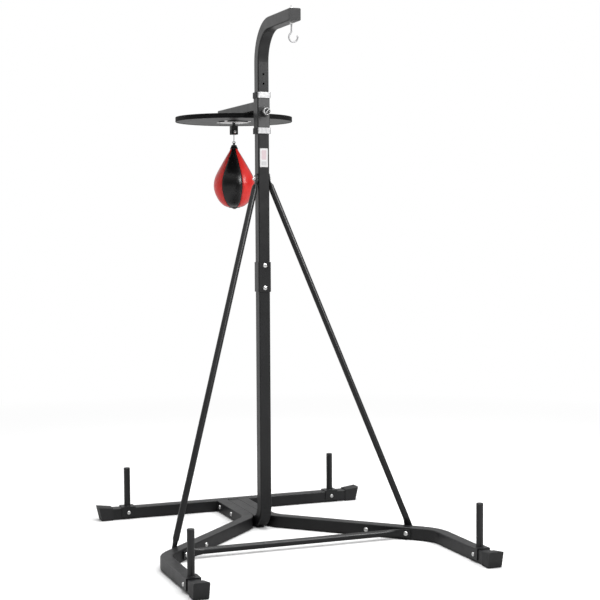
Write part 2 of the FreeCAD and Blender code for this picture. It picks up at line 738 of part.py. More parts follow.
def foot_cap(label, placement):
    """Cap over a tube end, modelled with the tube end at x = 0 and the cap facing +X."""
    cover, over, high = size.cap_cover, size.cap_over, size.cap_high
    cap = new_body(label + "_blank")
    inner = new_sketch(cap, "CapInner", "YZ_Plane", -cover)
    square(inner, 0, size.cap_small / 2, size.cap_small, 4.0)
    outer = new_sketch(cap, "CapOuter", "YZ_Plane", over)
    rounded_rect(outer, 0, high / 2, size.cap_big, high, 7.0)
    loft = cap.newObject("PartDesign::AdditiveLoft", "CapShell")
    loft.Profile = inner
    loft.Sections = [outer]
    loft.Ruled = True
    cap.Tip = loft
    # the end face leans outward towards the top
    section = new_sketch(cap, "EndSlope", "XZ_Plane")
    polygon(section, [(size.cap_under, -5.0), (over + 5.0, -5.0),
                      (over + 5.0, high + 1.0), (over - 0.5, high + 1.0)])
    pocket(cap, section, 200.0, "Slope", mid=True)
    section = new_sketch(cap, "TubeSocket", "YZ_Plane", -cover - 1.0)
    square(section, 0, size.base_z, size.cap_in, 5.0)
    pocket(cap, section, cover + 1.2, "Socket", rev=True)
    # shallow grooves across the underside
    first_x, pitch, width, depth = -36.0, 9.0, 3.0, 1.0
    section = new_sketch(cap, "TreadGrooves", "XZ_Plane")
    for k in range(4):
        x = first_x + pitch * k
        polygon(section, [(x, -depth), (x + width, -depth), (x + width, depth), (x, depth)])
    pocket(cap, section, 200.0, "Treads", mid=True)
    cap.Placement = placement
    node(cap, label)


def foot_caps():
    beam_half = mm.beam_len / 2
    foot_cap("foot_cap_rear_right", on_floor(beam_half, mm.beam_y, 0))
    foot_cap("foot_cap_rear_left", on_floor(-beam_half, mm.beam_y, 180))
    foot_cap("foot_cap_front_right", on_floor(mm.foot_x, -mm.foot_end, -90))
    foot_cap("foot_cap_front_left", on_floor(-mm.foot_x, -mm.foot_end, -90))


# ------------------------------------------------------------------ fasteners
SEAT = 0.05             # clearance under bolt heads and nuts
BOLT_EXTRA = 13.0       # shank length beyond the clamped parts


def bolt_master(name, radius, length, head_rad, head_high, socket):
    """Dome-headed bolt: head underside at z = 0, shank along +Z, hex socket."""
    length, rim, high = map(Length.of, (length, head_rad, head_high))
    bolt = turned(name, "BoltSection", [
        (0, -high), (rim * 0.42, -high), (rim * 0.74, high * -0.82),
        (rim * 0.94, high * -0.48), (rim, high * -0.16), (rim, 0),
        (radius, 0), (radius, length - 1.0), (radius - 0.9, length), (0, length)])
    section = new_sketch(bolt, "Socket", "XY_Plane", -high)
    polygon(section, [polar((0, 0), socket, 60 * k) for k in range(6)])
    pocket(bolt, section, high * 0.5, "HexSocket", rev=True)
    return bolt


def frame_bolt_master(name, length):
    return bolt_master(name, size.bolt_rad, length, size.head_rad, size.head_high, 3.0)


def nut_master(name, circumradius, high, bore):
    """Hex lock nut standing on z = 0 with a tapered crown."""
    hex_high = high * 0.72
    prism = doc.addObject("Part::Prism", name + "_hex")
    prism.Polygon = 6
    set_size(prism, "Circumradius", circumradius)
    set_size(prism, "Height", hex_high)
    crown = doc.addObject("Part::Cone", name + "_crown")
    set_size(crown, "Radius1", circumradius * 0.82)
    set_size(crown, "Radius2", circumradius * 0.66)
    set_size(crown, "Height", high * 0.28)
    crown.Placement = at((0, 0, Length.of(hex_high).value))
    blank = fuse(name + "_body", prism, crown)
    return cut(name, blank, [cylinder(name + "_bore", bore, 40, (0, 0, -5))])


def seats(joint, end):
    """Placements at one end of a joint: end is -1 for the heads, 1 for the nuts."""
    places, reach = joint
    return [at(point, direction, end * reach) for point, direction in places]


def frame_fasteners():
    # a joint is its (centre, bolt direction) places and the reach from centre to head
    hub = ([((0, y, mm.base_z), X_DIR) for y in (mm.hub_bolt_a, mm.hub_bolt_b)],
           mm.leg_off + TUBE_HALF + SEAT)
    sleeve = ([((0, 0, z), Y_DIR) for z in (mm.sleeve_bolt_lo, mm.sleeve_bolt_hi)],
              mm.sleeve_w / 2 + SEAT)

    def both_legs(point):
        x, y, z = point
        return [((side * x, y, z), (side, 1, 0)) for side in (1, -1)]

    brace_reach = TAB_OFFSET + mm.tab_thick / 2 + 0.1
    splice = (both_legs(SPLICE_BOLT), TUBE_HALF + SEAT)
    brace_foot = (both_legs(BRACE_BOLT), brace_reach)
    brace_top = ([((0, mm.brace_top_y, mm.brace_top_z), (-1, 0, 0))], brace_reach)

    master = frame_bolt_master("HubBoltMaster",
                               2 * (size.leg_off + size.tube_w / 2) + BOLT_EXTRA)
    group("HubBolts", "hub_bolts", master, seats(hub, -1))
    master = frame_bolt_master("SleeveBoltMaster", size.sleeve_w + BOLT_EXTRA)
    group("SleeveBolts", "sleeve_bolts", master, seats(sleeve, -1))
    master = frame_bolt_master("SpliceBoltMaster", size.tube_w + BOLT_EXTRA)
    group("SpliceBolts", "leg_splice_bolts", master, seats(splice, -1))
    master = frame_bolt_master(
        "BraceBoltMaster", 2 * (size.tube_w / 2 + size.tab_thick + 0.4) + BOLT_EXTRA)
    group("BraceFootBolts", "brace_foot_bolts", master, seats(brace_foot, -1))
    group("BraceTopBolt", "brace_top_bolt", master, seats(brace_top, -1))
    master = nut_master("NutTen", size.nut_circ, size.nut_high, size.bolt_rad + 0.05)
    joints = (hub, sleeve, splice, brace_foot, brace_top)
    group("FrameNuts", "frame_lock_nuts", master,
          [place for joint in joints for place in seats(joint, 1)])


def peg_fasteners():
    joint = ([((x, y, PEG_BOLT_Z), direction) for _, x, y, _, direction in PEGS],
             mm.saddle_in / 2 + mm.saddle_wall + SEAT)
    master = bolt_master("PegBoltMaster", size.pegbolt_rad,
                         size.saddle_in + 2 * size.saddle_wall + 10.0,
                         head_rad=8.5, head_high=4.8, socket=2.5)
    group("PegBolts", "peg_bolts", master, seats(joint, -1))
    master = nut_master("NutEight", size.pegnut_circ, size.pegnut_high,
                        size.pegbolt_rad + 0.05)
    group("PegNuts", "peg_lock_nuts", master, seats(joint, 1))


# ------------------------------------------------------------- drum carriage
def carriage():
    """Square slide on the mast with the drum's rear arm, mounting plate and gusset."""
    slide = new_body("CarriageSlide")
    section = new_sketch(slide, "SlideSection", "XY_Plane", size.car_lo)
    square_tube(section, 0, 0, size.car_w, size.car_in, 6.0, 4.0)
    pad(slide, section, size.car_hi - size.car_lo, "Slide")
    # arm and gusset start 1 mm inside the slide's rear face
    root = size.car_w / 2 - 1.0
    low, width = size.arm_low, size.arm_w
    section = new_sketch(slide, "ArmSection", "XZ_Plane", -root)
    square_tube(section, 0, low + width / 2, width, width - 2 * size.arm_wall, 4.0, 2.0)
    pad(slide, section, size.arm_far - root, "Arm", rev=True)
    section = new_sketch(slide, "PlateSection", "XY_Plane", low - size.pad_thick)
    square(section, 0, size.drum_y, size.pad_plate, 12.0)
    pad(slide, section, size.pad_thick + 0.4, "MountPlate")
    gusset_y, gusset_deep, gusset_tip, gusset_thick = 100.0, 50.0, 4.0, 6.0
    section = new_sketch(slide, "GussetSection", "YZ_Plane")
    polygon(section, [(root, low - gusset_deep), (root, low + 0.5),
                      (gusset_y, low + 0.5), (gusset_y, low - gusset_tip)])
    pad(slide, section, gusset_thick, "Gusset", mid=True)
    drills = [drill("cs_d%d" % i, size.drum_bolt_hole, 30, (x, y, mm.arm_low), Z_DIR)
              for i, (x, y) in enumerate(DRUM_BOLTS)]
    drills.append(drill("cs_pin", size.pin_guide, 20, (0, -mm.car_w / 2, mm.knob_z), Y_DIR))
    node(cut("CarriageDrilled", slide, drills), "carriage")


def carriage_arm_plug():
    node(tube_plug("CarriageArmPlug", "Plug", -(size.arm_far + 0.1),
                   size.arm_low + size.arm_w / 2, tube=(size.arm_w, size.arm_wall, 4.0),
                   flange=4.0, core=(15.0, 1.8), faces_front=False), "carriage_arm_plug")


def square_ring(label, low, outer, inner, high, outer_rad, inner_rad):
    blank = new_body(label + "_blank")
    section = new_sketch(blank, "RingSection", "XY_Plane", low)
    square_tube(section, 0, 0, outer, inner, outer_rad, inner_rad)
    pad(blank, section, high)
    node(blank, label)


def collars_and_liners():
    """Collars round the slide's ends and liners between slide and mast."""
    for label, low in (("upper_collar", size.collar_hi), ("lower_collar", size.collar_lo)):
        square_ring(label, low, size.collar_w, size.collar_in, size.collar_high, 7.5, 6.0)
    for label, low in (("upper_slide_liner", size.car_hi - size.liner_high),
                       ("lower_slide_liner", size.car_lo)):
        square_ring(label, low, size.liner_w, size.liner_in, size.liner_high, 4.2, 4.6)


# ------------------------------------------------------------------ the drum
def drum_board():
    """Round board with through holes for its bolts and blind holes for the swivel."""
    board = new_body("DrumBoard")
    section = new_sketch(board, "BoardDisc", "XY_Plane", size.drum_under)
    circle(section, 0, size.drum_y, size.drum_rad - size.rim_thick - 0.2)
    for sx, sy in CORNERS:
        circle(section, size.drum_bolt * sx, size.drum_y + size.drum_bolt * sy,
               size.drum_bolt_hole)
    pad(board, section, size.board_thick)
    board.Label = "drum_board_blank"
    start_z = mm.drum_under - 2
    drills = [cylinder("pilot_%d" % i, 2.5, 18, (x, y, start_z))
              for i, (x, y) in enumerate(SWIVEL_SCREWS)]
    drills.append(cylinder("pilot_c", 5.2, 16, (0, mm.drum_y, start_z)))
    node(cut("DrumBoardPiloted", board, drills), "drum_board")


def drum_rim():
    """Band round the board with bevelled edges and a shallow groove at mid-height."""
    bevel, groove = 0.9, 0.8
    outer = size.drum_rad
    inner = outer - size.rim_thick
    low, high = size.rim_low, size.rim_high
    mid = (low + high) / 2
    node(turned("DrumRim", "RimSection", [
        (inner, low), (outer - bevel, low), (outer, low + bevel),
        (outer, mid - 1.1), (outer - groove, mid - 0.5),
        (outer - groove, mid + 0.5), (outer, mid + 1.1),
        (outer, high - bevel), (outer - bevel, high), (inner, high)], DRUM_AXIS), "drum_rim")


def drum_fasteners():
    master = bolt_master("DrumBoltMaster", size.drum_bolt_rad, 31.0,
                         head_rad=8.0, head_high=3.6, socket=2.2)
    group("DrumBolts", "drum_bolts", master,
          [at((x, y, mm.drum_under - SEAT)) for x, y in DRUM_BOLTS])
    master = nut_master("DrumNutMaster", 6.6, 6.0, size.drum_bolt_rad + 0.05)
    group("DrumNuts", "drum_nuts", master,
          [at((x, y, mm.arm_low + 0.5)) for x, y in DRUM_BOLTS])


# ----------------------------------------------------------- spring plunger
# At the front of the slide, drawn out and parked: its tip stands clear of the
# mast and drops into the index holes when released.
FORWARD = (0, -1, 0)
HOUSING_FACE = size.car_w / 2 + 0.05                # housing's back face, forward of the axis
KNOB_Y = -(TUBE_HALF + 0.75 + 26.0)


def plunger_housing():
    block_x, block_w, block_h, block_thick = -4.0, 40.0, 38.0, 9.0
    height = size.knob_z
    housing = new_body("PlungerHousing")
    section = new_sketch(housing, "HousingBlock", "XZ_Plane", HOUSING_FACE)
    rounded_rect(section, block_x, height, block_w, block_h, 3.0)
    pad(housing, section, block_thick, "Block")
    section = new_sketch(housing, "HousingBarrel", "XZ_Plane",
                         HOUSING_FACE + block_thick - 0.5)
    circle(section, 0, height, 10.0)
    pad(housing, section, 12.5, "Barrel")
    section = new_sketch(housing, "PinBore", "XZ_Plane", HOUSING_FACE)
    circle(section, 0, height, size.pin_guide)
    pocket(housing, section, 60.0, "Bore", mid=True)
    section = new_sketch(housing, "SpringChamber", "XZ_Plane", HOUSING_FACE + 18.5)
    circle(section, 0, height, 7.2)
    pocket(housing, section, 17.7, "Chamber")
    node(housing, "plunger_housing")


def plunger_pin():
    """Pin with a collar; z runs from its tip to the knob."""
    radius, collar, length = size.pin_r, 6.8, 42.1
    node(turned("PlungerPin", "PinSection", [
        (0, 0.0), (radius - 1.0, 0.0), (radius, 1.4), (radius, 12.3), (collar, 12.3),
        (collar, 14.0), (radius, 14.0), (radius, length), (0, length)],
        at((0, -mm.pin_tip, mm.knob_z), FORWARD)), "plunger_pin")


def plunger_spring():
    coil_rad = 5.6
    path = doc.addObject("Part::Helix", "SpringPath")
    path.Radius = coil_rad
    path.Pitch = 1.45
    path.Height = 4.9
    wire = doc.addObject("Part::RegularPolygon", "SpringWire")
    wire.Polygon = 6
    wire.Circumradius = 0.55
    wire.Placement = at((coil_rad, 0, 0), Y_DIR)
    spring = doc.addObject("Part::Sweep", "SpringCoil")
    spring.Sections = [wire]
    spring.Spine = (path, ["Edge1"])
    spring.Solid = True
    spring.Frenet = True
    spring.Placement = at((0, -(HOUSING_FACE.value + 12.75), mm.knob_z), FORWARD)
    node(spring, "plunger_spring")


def plunger_knob():
    """Cup-shaped knob with a grip bar across its face and ten flutes round it."""
    bore, skirt, rim = size.pin_r + 0.05, 10.8, size.knob_rad
    knob = turned("PlungerKnob", "KnobSection", [
        (bore, 10.6), (skirt, 10.6), (skirt, 0.0), (rim - 2.0, 0.0), (rim - 0.6, 2.0),
        (rim, 4.0), (rim, 17.0), (rim - 1.2, 19.0), (rim - 3.6, 19.0), (rim - 3.6, 16.6),
        (bore, 16.6)])
    section = new_sketch(knob, "GripBar", "XY_Plane", Length.of(17.7))
    rounded_rect(section, 0, 0, 2 * (rim - 3.3), 3.4, 0.8)
    pad(knob, section, 1.3, "Bar")
    section = new_sketch(knob, "GripFlute", "XY_Plane")
    circle(section, rim + 1.9, 0, 3.0)
    flute = pocket(knob, section, 18.0, "Flute", rev=True)
    # the pattern needs the flute's computed shape
    doc.recompute()
    pattern = knob.newObject("PartDesign::PolarPattern", "Flutes")
    pattern.Originals = [flute]
    pattern.Axis = (section, ["N_Axis"])
    pattern.Angle = 360
    pattern.Occurrences = 10
    knob.Tip = pattern
    knob.Placement = Placement(Vector(0, KNOB_Y, mm.knob_z),
                               Rotation(UP, Vector(*FORWARD)) * Rotation(UP, 50))
    node(knob, "plunger_knob")


def plunger_knob_cap():
    edge, thick = size.knob_rad - 3.8, 0.95
    node(turned("KnobCap", "CapSection", [
        (0, 0.0), (edge, 0.0), (edge, 0.7), (size.knob_rad - 4.1, thick), (0, thick)],
        at((0, KNOB_Y - 16.65, mm.knob_z), FORWARD)), "plunger_knob_cap")


# --------------------------------------------------------------- bag swivel
FLANGE_LOW, FLANGE_TOP = 1761.0, 1765.0     # heights of the spindle's thrust flange


def swivel_plate():
    plate = new_body("SwivelPlate")
    section = new_sketch(plate, "SwivelDisc", "XY_Plane",
                         size.drum_under - size.swplate_thick - 0.05)
    circle(section, 0, size.drum_y, size.swplate_rad)
    circle(section, 0, size.drum_y, 5.05)
    for sx, sy in CORNERS:
        circle(section, size.sw_screw_pcr * (sx * COS45),
               size.drum_y + size.sw_screw_pcr * (sy * COS45), 2.6)
    pad(plate, section, size.swplate_thick)
    node(plate, "swivel_plate")


def swivel_screws():
    master = bolt_master("SwivelScrewMaster", 2.4, 18.0,
                         head_rad=5.0, head_high=2.6, socket=1.4)
    head_z = mm.drum_under - mm.swplate_thick - 0.1
    group("SwivelScrews", "swivel_screws", master, [at((x, y, head_z)) for x, y in SWIVEL_SCREWS])


def swivel_spindle():
    """Fixed spindle with a thrust flange at its foot."""
    neck, top = 5.0, size.drum_under + 9.0
    shoulder = size.drum_under - size.swplate_thick - 0.1
    node(turned("Spindle", "SpindleSection", [
        (0, FLANGE_LOW), (size.flange_rad, FLANGE_LOW), (size.flange_rad, FLANGE_TOP),
        (size.spindle_rad, FLANGE_TOP), (size.spindle_rad, shoulder),
        (neck, shoulder), (neck, top), (0, top)], DRUM_AXIS), "swivel_spindle")


def thrust_balls():
    """Ring of balls between the spindle's flange and the fork."""
    ring_rad, count = 9.6, 12
    ball = doc.addObject("Part::Sphere", "BallMaster")
    set_size(ball, "Radius", size.ball_rad - 0.02)
    places = [at((*polar((0, mm.drum_y), ring_rad, 360 / count * k), FLANGE_TOP + mm.ball_rad))
              for k in range(count)]
    group("ThrustBalls", "thrust_balls", ball, places)


def swivel_fork():
    """Fork that turns on the spindle."""
    slot_top, deep = 1759.0, 100.0
    low, slot = size.fork_lo, size.fork_gap / 2
    fork = new_body("ForkBlank")
    section = new_sketch(fork, "ForkBlock", "XY_Plane", low)
    square(section, 0, 0, size.fork_w, 5.0)
    pad(fork, section, size.fork_hi - low, "Block")
    section = new_sketch(fork, "SpindleBore", "XY_Plane", low)
    circle(section, 0, 0, size.spindle_bore)
    pocket(fork, section, deep, "Bore", rev=True)
    section = new_sketch(fork, "BearingPocket", "XY_Plane", low)
    circle(section, 0, 0, size.flange_rad + 0.6)
    pocket(fork, section, size.web_low - low + 0.02, "Pocket", rev=True)
    section = new_sketch(fork, "LinkSlot", "YZ_Plane")
    polygon(section, [(-slot, low - 1.0), (slot, low - 1.0), (slot, slot_top),
                      (-slot, slot_top)])
    pocket(fork, section, deep, "Slot", mid=True)
    section = new_sketch(fork, "PinBore", "XZ_Plane")
    circle(section, 0, size.pin_z, size.pin_rad + 0.02)
    pocket(fork, section, deep, "PinHole", mid=True)
    fork.Placement = DRUM_AXIS
    node(fork, "swivel_fork")


def fork_fasteners():
    joint = ([((0, mm.drum_y, mm.pin_z), Y_DIR)], mm.fork_w / 2 + SEAT)
    master = bolt_master("ForkPinMaster", size.pin_rad, size.fork_w + 7.0,
                         head_rad=6.0, head_high=3.4, socket=1.8)
    group("ForkPin", "fork_pin", master, seats(joint, -1))
    master = nut_master("ForkNutMaster", 6.4, 6.0, size.pin_rad + 0.03)
    group("ForkNut", "fork_nut", master, seats(joint, 1))


# ---------------------------------------------------------------- speed bag
def bag_link():
    """Eye on the fork pin, rod and ring."""
    pin_centre = (0, mm.drum_y, mm.pin_z)
    eye = cylinder("EyeDisc", size.eye_rad, size.eye_thick, pin_centre, Y_DIR,
                   -mm.eye_thick / 2)
    rod = cylinder("LinkRod", size.link_rad, 39.0,
                   (0, mm.drum_y, mm.ring_z + mm.ring_rad - 1.0))
    torus = doc.addObject("Part::Torus", "LinkRing")
    set_size(torus, "Radius1", size.ring_rad)
    set_size(torus, "Radius2", size.link_rad - 0.2)
    torus.Placement = at((0, mm.drum_y, mm.ring_z), Y_DIR)
    blank = doc.addObject("Part::MultiFuse", "LinkBlank")
    blank.Shapes = [eye, rod, torus]
    bore = drill("link_bore", size.pin_bore, 40, pin_centre, Y_DIR)
    node(cut("BagLink", blank, [bore]), "bag_link")


# outside of the bag from top to bottom: radius, height; drawn for bag_max = 94
BAG_OUTLINE = [
    (13.0, 1688.0), (24.0, 1660.5), (39.5, 1633.0), (55.5, 1605.5), (71.0, 1578.5),
    (85.0, 1551.0), (92.6, 1524.0), (93.2, 1497.0), (86.0, 1469.5), (69.0, 1438.0),
    (45.0, 1416.0), (18.0, 1408.0), (9.0, 1407.0)]
BAG_OUTER = [(radius * mm.bag_max / 94.0, z) for radius, z in BAG_OUTLINE]


def inset(points, distance):
    """The outline moved inwards, square to the chord through each point's neighbours."""
    moved = []
    for i, (x, z) in enumerate(points):
        before = points[max(i - 1, 0)]
        after = points[min(i + 1, len(points) - 1)]
        dx, dz = after[0] - before[0], after[1] - before[1]
        chord = math.hypot(dx, dz)
        moved.append((x + dz / chord * distance, z - dx / chord * distance))
    return moved


def bag_skin(name, outer, inner):
    """Hollow skin turned from an outer and an inner outline, open at both ends."""
    def add_spline(points):
        curve = Part.BSplineCurve()
        curve.interpolate([Vector(x, z, 0) for x, z in points])
        profile.addGeometry(curve, False)

    skin = new_body(name)
    profile = new_sketch(skin, "Profile", "XZ_Plane")
    add_spline(outer)
    add_line(profile, outer[-1], inner[-1])
    add_spline(inner[::-1])
    add_line(profile, inner[0], outer[0])
    revolve(skin, profile)
    skin.Placement = DRUM_AXIS
    return skin


def bag_cover():
    """Leather cover: pear profile, hollow, with a small lacing mouth at the bottom."""
    inner = [(max(x, 5.0), z) for x, z in inset(BAG_OUTER, mm.bag_wall)]
    inner[-1] = (9.0, 1410.0)
    node(bag_skin("BagCover", BAG_OUTER, inner), "bag_cover")


def bag_bladder():
    """Bladder inside the cover, with a valve stem that reaches through the mouth."""
    outer = inset(BAG_OUTER, mm.bag_wall + 1.0)[1:-2] + [(14.0, 1415.0), (6.0, 1414.4)]
    inner = inset(BAG_OUTER, mm.bag_wall + 2.6)[1:-2] + [(14.0, 1416.8), (6.0, 1416.4)]
    skin = bag_skin("BagBladder", outer, inner)
    skin.Label = "bladder_blank"
    valve = turned("BladderValve", "ValveSection", [
        (0, 1401.0), (5.2, 1401.0), (6.6, 1402.6), (6.6, 1420.0), (9.0, 1423.0),
        (0, 1423.0)], DRUM_AXIS)
    node(fuse("BladderWithValve", skin, valve), "bag_bladder")


def bag_neck_loop():
    """Leather neck plug and hanging loop."""
    loop_thick, eye_z, eye_rad = 6.0, 1697.3, 3.4
    neck = turned("BagNeck", "NeckSection", [
        (0, 1676.0), (8.5, 1676.0), (8.5, 1688.3), (13.2, 1688.3), (11.0, 1692.0),
        (0, 1692.0)], DRUM_AXIS, "Collar")
    section = new_sketch(neck, "LoopSection", "YZ_Plane")
    polygon(section, [(-6.5, 1691.5), (6.5, 1691.5), (6.5, 1700.5), (3.5, 1703.2),
                      (-3.5, 1703.2), (-6.5, 1700.5)])
    circle(section, 0, eye_z, eye_rad)
    pad(neck, section, loop_thick, "Loop", mid=True)
    node(neck, "bag_neck_loop")


# ----------------------------------------------------------- heavy bag hook
def heavy_bag_hook():
    """Rod through the top arm, bent one way and then back round into a hook."""
    rad_a, rad_b, bend_z = mm.hook_r_a, mm.hook_r_b, mm.hook_z
    top = size.mast_top + size.tube_w / 2 + 15.0
    hook = new_body("HookBlank")
    path = new_sketch(hook, "HookPath", "XZ_Plane", -size.hook_y)
    shank = add_line(path, (0, top.value), (0, bend_z))
    centre_a = (-rad_a, bend_z)
    bend_a = add_arc(path, centre_a, rad_a, -45, 0)
    bend_b = add_arc(path, polar(centre_a, rad_a + rad_b, -45), rad_b, 135, 385)
    constrain(path, "Tangent", shank, 2, bend_a, 2)
    constrain(path, "Tangent", bend_a, 1, bend_b, 1)
    constrain(path, "Vertical", shank)
    dimension(path, "Radius", (bend_a,), size.hook_r_a)
    dimension(path, "Radius", (bend_b,), size.hook_r_b)
    pin_point(path, shank, 1, 0, top)
    dimension(path, "DistanceY", (-1, 1, shank, 2), size.hook_z)
    section = new_sketch(hook, "HookSection", "XY_Plane", top)
    circle(section, 0, size.hook_y, size.hook_rad)
    pipe(hook, section, path)
    node(hook, "heavy_bag_hook")


def hook_nuts():
    """One nut on top of the arm and one below it."""
    master = nut_master("HookNutMaster", 8.4, 8.0, size.hook_rad + 0.03)
    centre = (0, mm.hook_y, mm.mast_top)
    group("HookNuts", "hook_nuts", master,
          [at(centre, (0, 0, way), TUBE_HALF + 0.1) for way in (1, -1)])


# --------------------------------------------------------------------- build
for build in (
        rear_beam, legs, leg_connectors,
        lower_mast, upper_mast, arm_end_plug, mast_sleeve, blank_plate,
        braces, front_crossbar, weight_pegs, peg_plugs, foot_caps,
        frame_fasteners, peg_fasteners,
        carriage, carriage_arm_plug, collars_and_liners,
        drum_board, drum_rim, drum_fasteners,
        plunger_housing, plunger_pin, plunger_spring, plunger_knob, plunger_knob_cap,
        swivel_plate, swivel_screws, swivel_spindle, thrust_balls, swivel_fork,
        fork_fasteners, bag_link, bag_cover, bag_bladder, bag_neck_loop,
        heavy_bag_hook, hook_nuts):
    build()

# ------------------------------------------------------------- check, export
doc.recompute()
bad = []
for obj in doc.Objects:
    faults = [state for state in obj.State if state in ("Invalid", "Error")]
    if faults:
        bad.append("%s: %s" % (obj.Name, faults))
shapes = {}
for label, obj in nodes.items():
    shape = Part.getShape(obj)
    if shape.isNull():
        bad.append("%s: null shape" % label)
        continue
    if not shape.isValid():
        bad.append("%s: invalid shape" % label)
    if not shape.Solids:
        bad.append("%s: no solid" % label)
    shapes[label] = shape
if bad:
    raise SystemExit("failed objects:\n" + "\n".join(bad))
# files of pieces that no longer exist are removed
for old in os.listdir("parts"):
    if old.endswith(".step") and old[:-5] not in shapes:
        os.remove(os.path.join("parts", old))
# modelled about the mast axis, delivered about the middle of the footprint
for label, shape in shapes.items():
    shape = shape.copy()
    shape.translate(Vector(0, mm.origin_back, 0))
    shape.exportStep("parts/%s.step" % label)
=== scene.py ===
# Boxing stand: a mast on a weighted base carries a speed bag below a drum.
# Metres, +Z up, floor at z = 0. The mast is upright at x = 0, y = MAST_Y, the carriage arm
# reaches from it toward +Y, and the camera looks from the -X, -Y side. The CAD pieces are
# dressed with materials; the speed bag and the weld beads are modelled here.
import bpy, bmesh, json, math, random
from mathutils import Vector, Matrix


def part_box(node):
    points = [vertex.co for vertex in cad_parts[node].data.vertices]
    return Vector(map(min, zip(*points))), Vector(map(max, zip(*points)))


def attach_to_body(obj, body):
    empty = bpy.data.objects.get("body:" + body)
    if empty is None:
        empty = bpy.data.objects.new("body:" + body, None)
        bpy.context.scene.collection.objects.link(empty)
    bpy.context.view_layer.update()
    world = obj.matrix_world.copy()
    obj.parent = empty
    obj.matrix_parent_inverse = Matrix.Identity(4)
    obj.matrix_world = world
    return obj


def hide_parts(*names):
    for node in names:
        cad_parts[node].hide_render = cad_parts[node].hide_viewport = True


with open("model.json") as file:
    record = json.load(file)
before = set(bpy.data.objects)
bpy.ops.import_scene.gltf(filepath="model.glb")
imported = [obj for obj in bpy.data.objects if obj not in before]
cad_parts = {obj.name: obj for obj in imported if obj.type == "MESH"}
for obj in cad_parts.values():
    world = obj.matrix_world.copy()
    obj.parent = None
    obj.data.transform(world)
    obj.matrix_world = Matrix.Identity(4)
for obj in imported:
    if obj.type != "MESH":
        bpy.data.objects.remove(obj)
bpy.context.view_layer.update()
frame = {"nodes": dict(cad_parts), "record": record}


NODES = frame["nodes"]
random.seed(7)
scene = bpy.context.scene

MAST_Y = 0.17638
CAMERA_PLACE = (-2.0125, MAST_Y - 5.6003, 1.3348)
bag_low, bag_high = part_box("bag_cover")
BAG_Y = (bag_low.y + bag_high.y) / 2      # the bag's axis is upright at x = 0, y = BAG_Y

# ------------------------------------------------------------ node helpers


class Nodes:
    """Short ways to add nodes to the tree of a material or world."""

    def __init__(self, owner):
        owner.use_nodes = True
        self.tree = owner.node_tree
        self.tree.nodes.clear()

    def feed(self, socket, value):
        """Link an output socket, or set a plain value or an RGB colour."""
        if hasattr(value, "links"):
            self.tree.links.new(value, socket)
        elif socket.type == "RGBA":
            socket.default_value = (*value, 1)
        else:
            socket.default_value = value

    def node(self, kind, inputs=None, **settings):
        made = self.tree.nodes.new("ShaderNode" + kind)
        for key, value in settings.items():
            setattr(made, key, value)
        for key, value in (inputs or {}).items():
            self.feed(made.inputs[key], value)
        return made

    def grey_ramp(self, factor, stops):
        """Colour ramp through (position, grey) stops."""
        made = self.node("ValToRGB", {0: factor})
        elements = made.color_ramp.elements
        while len(elements) < len(stops):
            elements.new(0.5)
        for element, (position, grey) in zip(elements, stops):
            element.position = position
            element.color = (grey, grey, grey, 1)
        return made.outputs[0]

    def mix(self, factor, low, high, **settings):
        """Colour mix: low where the factor is 0, high where it is 1."""
        inputs = {0: factor, 6: low, 7: high}
        return self.node("Mix", inputs, data_type="RGBA", **settings).outputs[2]


class Material(Nodes):
    """One Principled material, textured in object coordinates."""

    def __init__(self, name):
        self.data = bpy.data.materials.new(name)
        super().__init__(self.data)
        self.output = self.node("OutputMaterial")
        self.shader = self.node("BsdfPrincipled")
        self.feed(self.output.inputs[0], self.shader.outputs[0])
        self.coords = self.node("TexCoord").outputs["Object"]

    def finish(self, **inputs):
        """Feed the shader's inputs, an underscore standing for a space."""
        for key, value in inputs.items():
            self.feed(self.shader.inputs[key.replace("_", " ")], value)
        return self.data

    def noise(self, scale, detail=3.0, rough=0.5, stretch=None):
        source = self.coords
        if stretch:
            source = self.node("Mapping", {"Scale": stretch, "Vector": source}).outputs[0]
        inputs = {"Scale": scale, "Detail": detail, "Roughness": rough, "Vector": source}
        return self.node("TexNoise", inputs).outputs["Fac"]

    def cells(self, scale):
        """Distance to the edge of the nearest Voronoi cell."""
        inputs = {"Scale": scale, "Vector": self.coords}
        return self.node("TexVoronoi", inputs, feature="DISTANCE_TO_EDGE").outputs["Distance"]

    def ramp(self, factor, start, end, low=0.0, high=1.0):
        return self.grey_ramp(factor, [(start, low), (end, high)])

    def calc(self, operation, first, second=0.0):
        return self.node("Math", {0: first, 1: second}, operation=operation).outputs[0]

    def times(self, value, factor):
        return self.calc("MULTIPLY", value, factor)

    def vary(self, value, amount, base):
        """base + amount * value"""
        return self.calc("ADD", self.times(value, amount), base)

    def off_centre(self, coordinate, centre):
        return self.calc("ABSOLUTE", self.calc("SUBTRACT", coordinate, centre))

    def bump(self, height, strength, distance, normal=None):
        inputs = {"Strength": strength, "Distance": distance, "Height": height}
        if normal is not None:
            inputs["Normal"] = normal
        return self.node("Bump", inputs).outputs[0]

    def edge(self, radius):
        """0 on flats, up to 1 where the surface turns within the radius."""
        rounded = self.node("Bevel", {"Radius": radius}, samples=4).outputs[0]
        flat = self.node("NewGeometry").outputs["Normal"]
        dot = self.node("VectorMath", {0: rounded, 1: flat}, operation="DOT_PRODUCT")
        return self.ramp(dot.outputs["Value"], start=0.86, end=0.985, low=1.0, high=0.0)

    def facing_minus(self, axis, limit):
        """1 where the face normal's component on the axis is below the limit."""
        normal = self.node("NewGeometry").outputs["True Normal"]
        return self.calc("LESS_THAN", self.node("SeparateXYZ", {0: normal}).outputs[axis], limit)


def tint(color, gain, lift=0.0):
    return tuple(min(1, value * gain + lift) for value in color)


